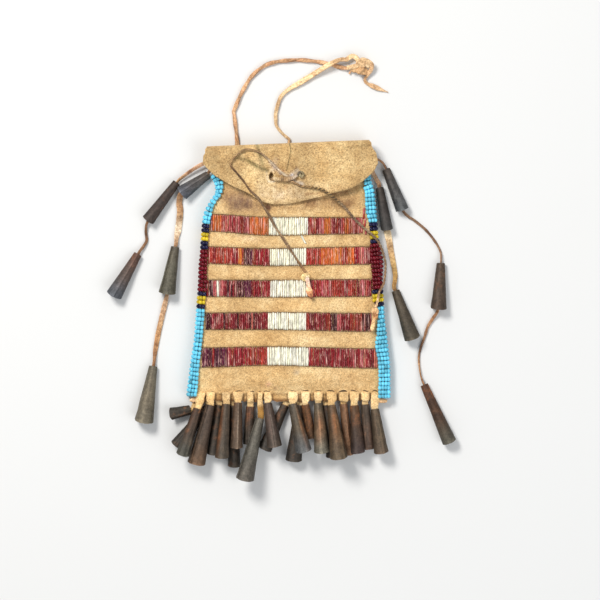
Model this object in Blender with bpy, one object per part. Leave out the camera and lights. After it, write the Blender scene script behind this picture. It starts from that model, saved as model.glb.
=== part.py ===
"""A small hide pouch with a fold-over flap, beaded side seams, quilled bands and tin-cone fringe.

The pouch lies on its back: +X across the front, +Y towards the fold of the flap, +Z out of the front.
The origin is on the flat underside of the back panel. All sizes are in metres.
"""

import math

import bmesh
import bpy
from mathutils import Matrix, Vector

MM = 0.001

# Hide and clearances
HIDE = 1.2 * MM
GAP = 0.3 * MM
CUT_OVERRUN = 2.0 * MM

# Pouch body, from the hem hinge line up to the fold
HEM_Y = -61.0 * MM
BODY_LENGTH = 122.65 * MM
HEM_WIDTH = 98.0 * MM
BULGE = 6.5 * MM
TOP_RAISE = 2.8 * MM

# Flap and its fold, square to a slightly slanted fold line
FOLD_SLANT = math.radians(2.3)
FOLD_CENTRE_X = -0.85 * MM
FLAP_WIDTH = 83.0 * MM
FLAP_DEPTH = 28.6 * MM
FLAP_HEIGHT = 11.2 * MM
FLAP_DROOP = 0.4 * MM
FLAP_SIDE_DROOP = 1.6 * MM
FOLD_ROUNDING = 0.7 * MM

# Lacing holes of the flap, from the fold line, and the thong's rolled end in the second
TIE_HOLE_X = -9.45 * MM
TIE_HOLE_INSET = 15.2 * MM
TIE_HOLE_LENGTH = 4.4 * MM
TIE_HOLE_WIDTH = 2.6 * MM
ROLL_HOLE_X = 5.1 * MM
ROLL_HOLE_INSET = 14.6 * MM
ROLL_HOLE_RADIUS = 1.1 * MM
ROLL_RADIUS = 1.7 * MM
ROLL_STEM_RADIUS = 0.75 * MM
ROLL_THICKNESS = 1.5 * MM

# Beaded edging: a roll of beads round each side seam
BEAD = 1.9 * MM
BEAD_REACH = 2.4 * MM
BEAD_CORNER = 1.4 * MM
BEAD_LIP_SLOPE = 0.55 * MM
EDGE_RAISE = BEAD + GAP

# Quilled bands
QUILL_THICKNESS = 1.0 * MM
QUILL_BAND_WIDTH = 8.6 * MM

# Fringe: hem strips cut into tabs, and the cones on them
FRINGE_DEPTH = 4.0 * MM
TAB_LENGTH = 4.0 * MM
TAB_WIDTH = 3.0 * MM
TAB_TIP_WIDTH = 1.3 * MM
TAB_TIP_THICKNESS = 0.8 * MM
TAB_INSERT = 1.2 * MM
CONE_LENGTH = 25.0 * MM
CONE_NARROW = 2.0 * MM
CONE_WIDE = 4.0 * MM
TIN = 0.35 * MM
TIN_LAP = 0.15 * MM
CONE_STEPS = 11
CONE_WRAP = math.radians(396)

# Thongs
NECK_THONG = 2.0 * MM
SIDE_THONG = 1.4 * MM
TIE_THONG = 1.2 * MM
LACE_HOLE_RADIUS = 1.5 * MM
LACE_INSET = 3.1 * MM
LACE_LEFT_X = -26.4 * MM
LACE_RIGHT_X = -0.55 * MM
NECK_HINGE_Y = 64.2 * MM
FLOOR_CLEARANCE = 0.05 * MM

# Body rows: height up the body, left and right seam, fullness, hem raise and top raise
PANEL_SHARES = (
    (0.000, -1.014, 0.980, 0.00, 1.0, 0.00),
    (0.050, -0.996, 0.978, 0.50, 0.7, 0.00),
    (0.114, -0.976, 0.973, 0.80, 0.1, 0.00),
    (0.208, -0.935, 0.947, 0.95, 0.0, 0.00),
    (0.326, -0.910, 0.914, 1.00, 0.0, 0.00),
    (0.538, -0.873, 0.884, 1.00, 0.0, 0.00),
    (0.620, -0.863, 0.857, 1.00, 0.0, 0.00),
    (0.718, -0.827, 0.837, 1.00, 0.0, 0.00),
    (0.770, -0.767, 0.824, 0.98, 0.0, 0.00),
    (0.810, -0.710, 0.814, 0.96, 0.0, 0.00),
    (0.850, -0.722, 0.784, 0.93, 0.0, 0.00),
    (0.890, -0.772, 0.768, 0.89, 0.0, 0.00),
    (0.905, -0.788, 0.780, 0.88, 0.0, 0.20),
    (0.942, -0.829, 0.829, 0.86, 0.0, 1.00),
    (1.000, -0.841, 0.841, 0.86, 0.0, 1.00),
)
FRONT_TOP_SHARE = 0.905
BEAD_TOP_SHARE = 0.890
SLANT_START_SHARE = 0.85
FRONT_COLUMN_SHARES = (-1.0, -0.925, -0.8, -0.6, -0.3, 0.0, 0.3, 0.6, 0.8, 0.925, 1.0)
BACK_COLUMN_SHARES = (-1.0, -0.925, -0.8, -0.6, 0.0, 0.6, 0.8, 0.925, 1.0)
EDGE_START_SHARE = 0.6
FULLNESS_POWER = 1.1

# Band centres between the hem and the flap's edge, and the columns where each starts and ends
BAND_SHARES = (
    (0.8841, -0.925, 0.86),
    (0.7198, -0.925, 0.925),
    (0.5517, -0.925, 0.925),
    (0.3769, -0.925, 0.925),
    (0.1878, -0.925, 0.925),
)

# Flap outline from the right end of the fold, round the lower edge, to the left end
FLAP_OUTLINE_SHARES = (
    (1.000, 0.000),
    (1.055, 0.200),
    (1.066, 0.370),
    (1.020, 0.485),
    (0.893, 0.648),
    (0.754, 0.771),
    (0.543, 0.846),
    (0.391, 0.902),
    (0.136, 0.971),
    (-0.030, 1.004),
    (-0.160, 1.006),
    (-0.300, 0.970),
    (-0.401, 0.893),
    (-0.591, 0.727),
    (-0.781, 0.573),
    (-0.945, 0.400),
    (-1.030, 0.240),
    (-1.022, 0.120),
    (-1.000, 0.000),
)
FLAP_ROW_SHARES = (0.0, 0.25, 0.55, 0.8, 1.0)
FLAP_COLUMN_SHARES = (-1.0, -0.8, -0.55, -0.3, -0.1, 0.1, 0.3, 0.55, 0.8, 1.0)

# Cones of the front row: place along the fringe, tab length, mouth height, length, mouth and end width
FRONT_CONE_SHARES = (
    (0.011, 1.02, 3.30, 1.015, 1.05, 0.85),
    (0.081, 0.50, 3.30, 1.245, 1.05, 1.10),
    (0.165, 0.44, 2.50, 1.120, 1.05, 0.90),
    (0.229, 0.25, 2.90, 0.945, 1.05, 0.78),
    (0.295, 0.70, 1.80, 0.809, 1.00, 0.75),
    (0.348, 2.21, 3.30, 1.300, 1.00, 1.10),
    (0.390, 0.31, 2.90, 0.938, 1.05, 0.90),
    (0.525, 0.44, 3.10, 1.016, 1.05, 1.02),
    (0.593, 0.44, 2.60, 0.745, 0.95, 0.65),
    (0.662, 0.31, 2.40, 1.027, 1.05, 0.97),
    (0.734, 0.60, 2.90, 1.116, 1.05, 1.10),
    (0.799, 0.38, 1.80, 1.075, 0.95, 0.70),
    (0.856, 0.60, 2.50, 0.992, 1.05, 0.85),
    (0.916, 0.44, 1.80, 0.941, 1.05, 0.80),
    (0.968, 1.02, 2.70, 0.927, 1.05, 0.90),
)
# Turn from straight down and upward tilt of each, in degrees
FRONT_CONE_DEGREES = (
    (-17.7, 11.8), (-13.6, 0.9), (-4.4, 9.9), (-1.6, 8.5), (-1.4, -1.7),
    (-14.0, 10.6), (9.6, 14.8), (13.4, 14.6), (10.1, -5.9), (4.6, 9.2),
    (8.0, 15.0), (6.3, -1.7), (4.3, 6.9), (4.8, -1.0), (8.5, 4.5),
)
# Cones of the back row, in the same order of values
BACK_CONE_SHARES = (
    (-0.030, 1.15, 1.20, 0.390, 1.20, 0.80),
    (0.065, 0.88, 1.00, 0.968, 1.00, 0.85),
    (0.124, 0.56, 1.00, 0.977, 1.00, 0.88),
    (0.203, 0.62, 1.00, 1.201, 1.00, 0.80),
    (0.482, 0.56, 1.00, 0.955, 1.00, 0.90),
    (0.560, 0.56, 1.00, 1.099, 1.00, 1.00),
    (0.704, 0.56, 1.00, 1.029, 1.00, 0.80),
)
BACK_CONE_DEGREES = (
    (-78.1, 4.7), (-39.1, 3.3), (-6.1, 3.5), (0.7, 2.3),
    (-25.5, 3.8), (-6.2, 4.2), (7.3, 2.7),
)

# Routes of the thongs, in millimetres, chosen along the lie of each one
NECK_LACE_ROUTE = (
    (-26.4, 64.05, 1.05), (-26.4, 60.0, 1.05), (-26.4, 58.7, 1.05), (-26.4, 57.85, 1.4),
    (-26.4, 57.5, 2.25), (-26.4, 57.5, 4.1), (-26.05, 57.5, 5.0), (-25.2, 57.55, 5.4),
    (-23.0, 57.65, 5.45), (-13.0, 58.05, 5.45), (-4.0, 58.4, 5.45), (-1.75, 58.5, 5.4),
    (-0.9, 58.55, 5.0), (-0.55, 58.55, 4.1), (-0.55, 58.55, 2.25), (-0.55, 58.9, 1.4),
    (-0.55, 59.75, 1.05), (-0.55, 61.0, 1.05), (-0.55, 64.05, 1.05),
)
NECK_LEFT_ROUTE = (
    (-26.4, 64.35, 1.05), (-27.2, 71.0, 1.05), (-28.1, 78.8, 1.05), (-24.7, 87.4, 1.05),
    (-20.1, 95.5, 1.05), (-14.9, 100.6, 1.05), (-9.2, 103.5, 1.05), (-1.7, 104.6, 1.05),
    (5.2, 104.9, 1.05), (13.8, 104.1, 1.05), (19.6, 102.9, 1.05), (24.8, 101.3, 1.2),
    (28.4, 100.8, 1.7),
)
NECK_RIGHT_ROUTE = (
    (-0.55, 64.35, 1.05), (-0.6, 65.5, 1.05), (-3.6, 68.0, 1.05), (-6.6, 71.8, 1.05),
    (-7.1, 75.5, 1.05), (-6.9, 79.4, 1.05),
    (-4.6, 86.4, 1.05), (-0.4, 90.4, 1.05), (5.2, 93.7, 1.05), (11.5, 97.6, 1.3),
    (16.6, 100.7, 2.7), (20.5, 102.9, 3.6), (25.0, 104.9, 3.0), (28.3, 105.0, 2.3),
)
LEFT_OUTER_ROUTE = (
    (-41.4, 53.3, 3.5), (-43.9, 52.7, 3.3), (-49.1, 49.7, 2.6), (-53.6, 46.4, 2.1),
    (-55.3, 45.1, 1.9), (-56.5, 43.55, 2.0), (-63.6, 34.1, 2.2), (-70.75, 24.75, 2.3),
    (-72.0, 19.6, 0.95), (-71.6, 15.0, 0.75), (-73.0, 12.0, 1.2), (-74.85, 9.6, 1.8),
    (-75.85, 7.85, 2.0), (-81.85, -2.6, 2.3), (-85.85, -9.5, 2.5),
)
LEFT_INNER_ROUTE = (
    (-39.7, 49.7, 3.4), (-40.8, 48.5, 2.6), (-41.5, 47.0, 2.0), (-48.15, 42.5, 2.2),
    (-54.0, 38.5, 2.3), (-55.3, 33.8, 0.95), (-54.9, 29.3, 0.75), (-55.7, 21.1, 0.75),
    (-56.6, 16.5, 1.2), (-56.9, 13.4, 1.8), (-57.25, 11.45, 2.0), (-59.25, 0.0, 2.2),
    (-61.2, -11.5, 2.3), (-62.6, -17.5, 0.95), (-65.6, -30.5, 0.75), (-67.2, -39.5, 0.75),
    (-67.6, -43.0, 1.2), (-67.9, -46.1, 1.8), (-68.2, -48.1, 2.0), (-70.5, -62.0, 2.4),
    (-72.2, -72.0, 2.6),
)
RIGHT_OUTER_ROUTE = (
    (41.4, 55.6, 3.5), (44.2, 54.9, 3.3), (46.2, 53.6, 2.6), (47.3, 52.1, 2.1),
    (48.0, 50.3, 2.0), (52.1, 40.15, 2.2), (56.15, 30.05, 2.3), (59.2, 26.6, 1.2),
    (61.8, 25.0, 0.75), (67.65, 20.2, 0.75), (72.6, 14.1, 0.75), (75.2, 9.0, 1.2),
    (75.45, 5.4, 1.8), (75.35, 3.35, 2.0), (74.7, -8.0, 2.2), (74.05, -19.25, 2.3),
    (71.3, -24.3, 1.0), (68.9, -28.3, 0.75), (67.25, -33.5, 0.75), (65.3, -39.0, 0.75),
    (64.4, -44.0, 0.75), (65.0, -51.0, 1.1), (66.1, -55.5, 1.8), (66.9, -57.35, 2.0),
    (73.2, -71.65, 2.2), (78.0, -82.5, 2.3),
)
RIGHT_INNER_ROUTE = (
    (40.1, 50.8, 3.5), (41.9, 47.3, 3.1), (43.7, 44.2, 2.4), (44.4, 43.0, 2.1),
    (44.7, 41.1, 2.0), (46.55, 30.65, 2.2), (48.4, 20.25, 2.3), (49.5, 14.8, 0.95),
    (50.6, 8.5, 0.75), (52.0, 1.5, 0.75), (52.6, -3.5, 1.0), (51.95, -8.5, 1.8),
    (52.6, -10.4, 2.0), (56.85, -22.5, 2.2), (59.75, -30.75, 2.4),
)
TIE_LEFT_ROUTE = (
    (-0.6, 45.9, 12.0), (-2.2, 46.8, 12.1), (-4.7, 48.7, 12.2), (-7.2, 51.2, 12.25),
    (-9.6, 53.6, 12.3), (-12.1, 56.0, 12.3), (-14.7, 57.9, 12.3), (-17.7, 59.2, 12.3),
    (-20.8, 59.7, 12.3), (-23.4, 59.1, 12.3), (-25.5, 57.6, 12.25), (-27.4, 55.7, 12.2),
    (-29.2, 53.6, 12.0), (-29.5, 51.9, 11.9), (-28.4, 50.4, 11.9), (-26.2, 47.8, 11.85),
    (-22.9, 43.8, 11.8), (-19.9, 39.5, 11.85), (-15.6, 35.3, 11.9),
    (-11.0, 28.1, 11.5), (-7.1, 21.0, 11.3), (-3.4, 15.5, 11.5), (-0.2, 10.6, 11.8),
    (3.0, 5.7, 11.7), (6.0, 1.2, 11.0),
)
TIE_RIGHT_ROUTE = (
    (-9.4, 45.1, 9.9), (-9.4, 45.1, 11.2), (-9.2, 44.95, 11.75), (-8.75, 44.75, 12.05),
    (-7.4, 44.5, 12.1), (-4.0, 44.4, 12.1),
    (0.8, 43.8, 12.05), (5.8, 41.5, 12.0), (9.6, 41.0, 12.0), (15.3, 39.9, 12.0),
    (18.0, 38.4, 11.95), (20.3, 36.9, 11.55), (22.1, 35.5, 10.7), (24.4, 33.6, 9.6),
    (26.5, 31.8, 9.05), (31.9, 25.5, 8.75),
    (36.7, 21.0, 8.2), (40.8, 17.5, 8.15), (44.7, 12.7, 7.9), (47.2, 5.4, 6.6),
    (47.6, 0.6, 6.4), (46.9, -5.8, 7.6), (45.9, -8.3, 8.05), (44.3, -11.5, 8.1),
    (43.7, -15.0, 8.1), (42.8, -18.3, 8.1),
)

# Knots: each station is its place along the thong's line and its width, in millimetres
NECK_KNOT_STATIONS = (
    (29.5, 103.2, 4.2), (32.0, 103.0, 7.4), (35.3, 101.8, 8.4), (37.5, 99.3, 6.4),
    (38.1, 96.4, 2.8), (39.8, 93.4, 2.2), (44.2, 91.2, 1.8), (49.1, 88.9, 0.9),
)
NECK_KNOT_THICKNESS = 4.4 * MM
NECK_TAIL_THICKNESS = 1.4 * MM
TIE_LEFT_KNOT_STATIONS = (
    (6.6, 0.4, 1.4), (7.3, -0.8, 2.4), (7.9, -2.6, 2.4), (8.6, -4.4, 1.4),
    (9.5, -8.0, 1.8), (10.7, -13.5, 2.0),
)
TIE_LEFT_KNOT_HEIGHT = 11.0 * MM
TIE_RIGHT_KNOT_STATIONS = (
    (42.6, -19.0, 1.4), (42.4, -20.4, 2.8), (42.3, -22.4, 2.8), (41.7, -24.6, 1.6),
    (41.0, -27.6, 2.0), (40.2, -30.6, 1.6),
)
TIE_RIGHT_KNOT_HEIGHT = 8.3 * MM
TIE_KNOT_THICKNESS = 1.6 * MM
TIE_TAIL_THICKNESS = 1.0 * MM

# Cones on the side thongs: route points at mouth and open end, end width share
LEFT_OUTER_CONE_SHARES = ((5, 7, 0.81), (12, 14, 1.00))
LEFT_INNER_CONE_SHARES = ((2, 4, 0.75), (10, 12, 1.04), (18, 20, 1.17))
RIGHT_OUTER_CONE_SHARES = ((4, 6, 0.81), (13, 15, 1.00), (23, 25, 0.90))
RIGHT_INNER_CONE_SHARES = ((4, 6, 0.80), (12, 14, 1.00))
CONE_TAIL_COVER = 3.6 * MM
RING_SIDES = 8
TUBE_BEVEL_STEPS = 2
TUBE_STEP_DIAMETERS = 2.5


def clear_scene():
    for obj in list(bpy.data.objects):
        bpy.data.objects.remove(obj, do_unlink=True)


def material(name, colour, roughness, metallic=0.0):
    made = bpy.data.materials.new(name)
    made.use_nodes = True
    shader = made.node_tree.nodes["Principled BSDF"]
    shader.inputs["Base Color"].default_value = (*colour, 1.0)
    shader.inputs["Roughness"].default_value = roughness
    shader.inputs["Metallic"].default_value = metallic
    made.diffuse_color = (*colour, 1.0)
    return made


def pivot(name, location, turn=0.0):
    """An empty on a joint's axis; the moving pieces are its children."""
    empty = bpy.data.objects.new(name, None)
    empty.location = location
    empty.rotation_euler = (0.0, 0.0, turn)
    empty.empty_display_size = CONE_WIDE
    bpy.context.scene.collection.objects.link(empty)
    return empty


def add_object(name, data, finish, parent=None):
    """Puts an object made in world coordinates into the scene, under its pivot if it has one."""
    data.materials.append(finish)
    obj = bpy.data.objects.new(name, data)
    bpy.context.scene.collection.objects.link(obj)
    if parent is not None:
        bpy.context.view_layer.update()
        data.transform(parent.matrix_world.inverted())
        obj.parent = parent
    return obj


def shade_round(mesh):
    mesh.shade_smooth()
    mesh.set_sharp_from_angle(angle=math.radians(40))


def mesh_from(name, points, faces):
    mesh = bpy.data.meshes.new(name)
    mesh.from_pydata([tuple(p) for p in points], [], faces)
    work = bmesh.new()
    work.from_mesh(mesh)
    bmesh.ops.recalc_face_normals(work, faces=work.faces)
    work.to_mesh(mesh)
    work.free()
    shade_round(mesh)
    return mesh


def slab(name, top, bottom, teeth=()):
    """A closed sheet between two grids of points. A tooth is (column, rings) off the first row."""
    rows, columns = len(top), len(top[0])
    points = [p for row in top for p in row] + [p for row in bottom for p in row]
    low = rows * columns

    def at(row, column, level=0):
        return level * low + row * columns + column

    faces = []
    for r in range(rows - 1):
        for c in range(columns - 1):
            faces.append((at(r, c), at(r, c + 1), at(r + 1, c + 1), at(r + 1, c)))
            faces.append((at(r, c, 1), at(r + 1, c, 1), at(r + 1, c + 1, 1), at(r, c + 1, 1)))
    for r in range(rows - 1):
        for c in (0, columns - 1):
            faces.append((at(r, c), at(r + 1, c), at(r + 1, c, 1), at(r, c, 1)))
    toothed = {column for column, _ in teeth}
    for c in range(columns - 1):
        last = rows - 1
        faces.append((at(last, c), at(last, c + 1), at(last, c + 1, 1), at(last, c, 1)))
        if c not in toothed:
            faces.append((at(0, c), at(0, c + 1), at(0, c + 1, 1), at(0, c, 1)))
    for column, rings in teeth:
        ring = (at(0, column), at(0, column + 1), at(0, column + 1, 1), at(0, column, 1))
        for corners in rings:
            start = len(points)
            points.extend(corners)
            after = tuple(range(start, start + 4))
            for k in range(4):
                faces.append((ring[k], ring[(k + 1) % 4], after[(k + 1) % 4], after[k]))
            ring = after
        faces.append(ring)
    return mesh_from(name, points, faces)


def loft(name, rings):
    """A closed tube of equal rings with flat ends."""
    sides = len(rings[0])
    points = [p for ring in rings for p in ring]
    faces = [tuple(range(sides)), tuple(range(len(points) - sides, len(points)))]
    for r in range(len(rings) - 1):
        for k in range(sides):
            a, b = r * sides + k, r * sides + (k + 1) % sides
            faces.append((a, b, b + sides, a + sides))
    return mesh_from(name, points, faces)


def lookup(table, place, value):
    """The value, by its column, at a place between two rows of a table, on a straight line."""
    for low, high in zip(table, table[1:]):
        if place <= high[0]:
            share = (place - low[0]) / (high[0] - low[0])
            return low[value] + (high[value] - low[value]) * share
    return table[-1][value]


def ease(share):
    share = min(1.0, max(0.0, share))
    return share * share * (3.0 - 2.0 * share)


def seam_x(v, side):
    column = 1 if side < 0 else 2
    return HEM_WIDTH / 2 * lookup(PANEL_SHARES, v, column)


def body_point(u, v):
    """X and Y of the place at column u, from -1 to 1, and height v, from hem to fold."""
    left, right = seam_x(v, -1), seam_x(v, 1)
    x = left + (right - left) * (u + 1.0) / 2
    slant = math.tan(FOLD_SLANT) * ease((v - SLANT_START_SHARE) / (1.0 - SLANT_START_SHARE))
    return x, HEM_Y + BODY_LENGTH * v + (x - FOLD_CENTRE_X) * slant


def under_height(u, v):
    """Height of the back panel's underside: flat, but raised at the seams, hem and fold."""
    edge = ease((abs(u) - EDGE_START_SHARE) / (1.0 - EDGE_START_SHARE))
    hem = lookup(PANEL_SHARES, v, 4)
    top = lookup(PANEL_SHARES, v, 5)
    return max(EDGE_RAISE * edge, EDGE_RAISE * hem, TOP_RAISE * top)


def front_height(u, v):
    """Height of the front panel's outer face."""
    fullness = lookup(PANEL_SHARES, v, 3) * (1.0 - u * u) ** FULLNESS_POWER
    return under_height(u, v) + HIDE + GAP + HIDE + BULGE * fullness


def band_edges(index):
    """Heights up the body of a band's lower and upper edge."""
    centre = BAND_SHARES[index][0] * (1.0 - FLAP_DEPTH / BODY_LENGTH)
    half = QUILL_BAND_WIDTH / BODY_LENGTH / 2
    return centre - half, centre + half


def body_rows(top_share, bands=False):
    rows = {row[0] for row in PANEL_SHARES if row[0] <= top_share}
    if bands:
        for index in range(len(BAND_SHARES)):
            rows |= set(band_edges(index))
    return sorted(rows)


def surface(columns, rows, height):
    return [[Vector((*body_point(u, v), height(u, v))) for u in columns] for v in rows]


def lowered(grid, depth):
    return [[p - Vector((0.0, 0.0, depth)) for p in row] for row in grid]


def cut(obj, cutter_mesh, name):
    """Cuts one hole with a hidden cutter."""
    cutter = bpy.data.objects.new(name, cutter_mesh)
    cutter.hide_render = True
    cutter.display_type = "WIRE"
    bpy.context.scene.collection.objects.link(cutter)
    if obj.parent is not None:
        cutter.data.transform(obj.parent.matrix_world.inverted())
        cutter.parent = obj.parent
    modifier = obj.modifiers.new(name, "BOOLEAN")
    modifier.operation = "DIFFERENCE"
    modifier.solver = "EXACT"
    modifier.object = cutter


def post(name, x, y, low, high, half_x, half_y, turn=0.0, sides=12):
    """An upright prism with an oval section."""
    rings = []
    for z in (low, high):
        ring = []
        for k in range(sides):
            angle = 2 * math.pi * (k + 0.5) / sides
            place = Matrix.Rotation(turn, 3, "Z") @ Vector(
                (half_x * math.cos(angle), half_y * math.sin(angle), 0.0)
            )
            ring.append(Vector((x, y, z)) + place)
        rings.append(ring)
    return loft(name, rings)


def back_panel(finish):
    rows = body_rows(1.0)
    bottom = surface(BACK_COLUMN_SHARES, rows, under_height)
    top = lowered(bottom, -HIDE)
    panel = add_object("back_panel", slab("back_panel", top, bottom), finish)
    for name, x in (("lace_hole_left", LACE_LEFT_X), ("lace_hole_right", LACE_RIGHT_X)):
        y = fold_line_y(x) - LACE_INSET
        low, high = TOP_RAISE - CUT_OVERRUN, TOP_RAISE + HIDE + CUT_OVERRUN
        cut(panel, post(name, x, y, low, high, LACE_HOLE_RADIUS, LACE_HOLE_RADIUS), name)


def front_panel(finish):
    rows = body_rows(FRONT_TOP_SHARE, bands=True)
    top = surface(FRONT_COLUMN_SHARES, rows, front_height)
    add_object("front_panel", slab("front_panel", top, lowered(top, HIDE)), finish)


def quill_band(index, finish):
    _, left, right = BAND_SHARES[index]
    lower, upper = band_edges(index)
    columns = [left] + [u for u in FRONT_COLUMN_SHARES if left < u < right] + [right]
    rows = [v for v in body_rows(FRONT_TOP_SHARE, bands=True) if lower <= v <= upper]
    lift = Vector((0.0, 0.0, GAP))
    bottom = [[p + lift for p in row] for row in surface(columns, rows, panel_height)]
    name = f"quill_band_{index + 1}"
    add_object(name, slab(name, lowered(bottom, -QUILL_THICKNESS), bottom), finish)


def panel_height(u, v):
    """Height of the faceted front face, between its columns too."""
    for low, high in zip(FRONT_COLUMN_SHARES, FRONT_COLUMN_SHARES[1:]):
        if u <= high:
            share = (u - low) / (high - low)
            return front_height(low, v) + (front_height(high, v) - front_height(low, v)) * share
    return front_height(1.0, v)


def bead_profile():
    """Section of the bead roll: distance out from the seam edge, and height above the floor."""
    seam_low = EDGE_RAISE
    seam_high = EDGE_RAISE + HIDE + GAP + HIDE
    outside = GAP + BEAD
    top = seam_high + GAP + BEAD
    return (
        (-BEAD_REACH, seam_high + GAP + BEAD_LIP_SLOPE),
        (GAP, seam_high + GAP),
        (GAP, seam_low - GAP),
        (-BEAD_REACH, seam_low - GAP - BEAD_LIP_SLOPE / 2),
        (-BEAD_REACH, 0.0),
        (outside - BEAD_CORNER, 0.0),
        (outside, BEAD_CORNER),
        (outside, top - BEAD_CORNER),
        (outside - BEAD_CORNER, top),
        (-BEAD_REACH, top),
    )


def bead_edging(name, side, finish):
    rows = [v for v in body_rows(BEAD_TOP_SHARE)]
    line = [Vector((*body_point(side, v), 0.0)) for v in rows]
    rings = []
    for i, place in enumerate(line):
        ahead = (line[min(i + 1, len(line) - 1)] - line[max(i - 1, 0)]).normalized()
        outward = Vector((ahead.y, -ahead.x, 0.0)) * side
        rings.append([place + outward * out + Vector((0.0, 0.0, z)) for out, z in bead_profile()])
    add_object(name, loft(name, rings), finish)


def fold_line_y(x):
    """Y of the back panel's top edge, the root line of the fold."""
    return HEM_Y + BODY_LENGTH + (x - FOLD_CENTRE_X) * math.tan(FOLD_SLANT)


def fold_frame():
    """From fold coordinates, X along the fold and -Y down the flap, to the world."""
    origin = Vector((FOLD_CENTRE_X, HEM_Y + BODY_LENGTH, 0.0))
    return Matrix.Translation(origin) @ Matrix.Rotation(FOLD_SLANT, 4, "Z")


def flap_fold(finish, hinge):
    """The strip of hide that turns from the back panel up and over into the flap."""
    near, far = GAP, GAP + HIDE
    section = (
        (near, TOP_RAISE),
        (far, TOP_RAISE),
        (far, FLAP_HEIGHT - FOLD_ROUNDING),
        (far - FOLD_ROUNDING, FLAP_HEIGHT),
        (near, FLAP_HEIGHT),
    )
    half = FLAP_WIDTH / 2
    stations = (-half, 0.0, half)
    rings = [[fold_frame() @ Vector((x, y, z)) for y, z in section] for x in stations]
    add_object("flap_fold", loft("flap_fold", rings), finish, hinge)


def flap_drop(u, w):
    """How far the flap hangs below its height at the fold, at shares of its width and depth."""
    side = min(1.0, abs(u)) ** 3 * ease(w / 0.4)
    return FLAP_DROOP * w * w + FLAP_SIDE_DROOP * side


def flap_edge_depth(u):
    """Depth share of the flap's lower edge at a width share."""
    lower = [p for p in FLAP_OUTLINE_SHARES if p[1] >= 0.376 or p[0] < 0]
    lower = sorted(lower[:-1])
    for (u0, w0), (u1, w1) in zip(lower, lower[1:]):
        if u <= u1:
            return w0 + (w1 - w0) * max(0.0, (u - u0) / (u1 - u0))
    return lower[-1][1]


def flap_side(w, side):
    """Width share of the flap's side edge at a depth share, above its corner."""
    points = [p for p in FLAP_OUTLINE_SHARES if p[0] * side >= 1.0]
    points.sort(key=lambda p: p[1])
    for (u0, w0), (u1, w1) in zip(points, points[1:]):
        if w <= w1:
            return u0 + (u1 - u0) * (w - w0) / (w1 - w0)
    return points[-1][0]


def flap_grid():
    """Rows from the fold to the lower edge, each as wide as the outline is there."""
    corner_left = min(FLAP_OUTLINE_SHARES)
    corner_right = max(FLAP_OUTLINE_SHARES)
    grid = []
    for row in FLAP_ROW_SHARES:
        line = []
        for column in FLAP_COLUMN_SHARES:
            corner = corner_left if column < 0 else corner_right
            edge_u = column * abs(corner[0])
            depth = row * flap_edge_depth(edge_u)
            side = flap_side(min(depth, corner[1]), math.copysign(1.0, column))
            u = edge_u * abs(side / corner[0])
            z = FLAP_HEIGHT - flap_drop(u, depth)
            line.append(Vector((u * FLAP_WIDTH / 2, -depth * FLAP_DEPTH, z)))
        grid.append(line)
    return grid


def flap(finish, hinge):
    frame = fold_frame()
    top = [[frame @ p for p in row] for row in flap_grid()]
    piece = add_object("flap", slab("flap", top, lowered(top, HIDE)), finish, hinge)
    low, high = FLAP_HEIGHT - HIDE - CUT_OVERRUN, FLAP_HEIGHT + CUT_OVERRUN
    y = fold_line_y(TIE_HOLE_X) - TIE_HOLE_INSET
    slit = post(
        "tie_hole", TIE_HOLE_X, y, low, high, TIE_HOLE_WIDTH / 2, TIE_HOLE_LENGTH / 2, FOLD_SLANT
    )
    cut(piece, slit, "tie_hole")
    y = fold_line_y(ROLL_HOLE_X) - ROLL_HOLE_INSET
    round_hole = post("roll_hole", ROLL_HOLE_X, y, low, high, ROLL_HOLE_RADIUS, ROLL_HOLE_RADIUS)
    cut(piece, round_hole, "roll_hole")


def tie_roll(finish, hinge):
    """The rolled end of the thong in the second hole, a head on a stem."""
    x, y = ROLL_HOLE_X, fold_line_y(ROLL_HOLE_X) - ROLL_HOLE_INSET
    depth = ROLL_HOLE_INSET / FLAP_DEPTH
    face = FLAP_HEIGHT - flap_drop(2 * x / FLAP_WIDTH, depth)
    seat = face + GAP
    profile = (
        (face - HIDE, ROLL_STEM_RADIUS),
        (seat, ROLL_STEM_RADIUS),
        (seat, ROLL_RADIUS),
        (seat + ROLL_THICKNESS * 0.6, ROLL_RADIUS),
        (seat + ROLL_THICKNESS, ROLL_RADIUS * 0.6),
    )
    rings = []
    for z, radius in profile:
        angles = [2 * math.pi * k / RING_SIDES for k in range(RING_SIDES)]
        rings.append([Vector((x + radius * math.cos(a), y + radius * math.sin(a), z)) for a in angles])
    add_object("tie_roll", loft("tie_roll", rings), finish, hinge)


def cone_mesh(name, length, narrow, wide):
    """A sheet rolled into a cone along +X, its mouth at the origin and its lap past a full turn."""
    rings = []
    for x, radius in ((0.0, narrow), (length, wide)):
        outer, inner = [], []
        for k in range(CONE_STEPS + 1):
            angle = CONE_WRAP * k / CONE_STEPS
            out = radius - (TIN + TIN_LAP) * angle / (2 * math.pi)
            direction = Vector((0.0, math.cos(angle), math.sin(angle)))
            outer.append(Vector((x, 0.0, 0.0)) + direction * out)
            inner.append(Vector((x, 0.0, 0.0)) + direction * (out - TIN))
        rings.append(outer + inner[::-1])
    count = len(rings[0])
    points = rings[0] + rings[1]
    faces = []
    for k in range(count):
        after = (k + 1) % count
        faces.append((k, after, after + count, k + count))
    for k in range(CONE_STEPS):
        a, b = k, k + 1
        c, d = count - 1 - b, count - 1 - a
        faces.append((a, b, c, d))
        faces.append((a + count, b + count, c + count, d + count))
    return mesh_from(name, points, faces)


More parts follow.
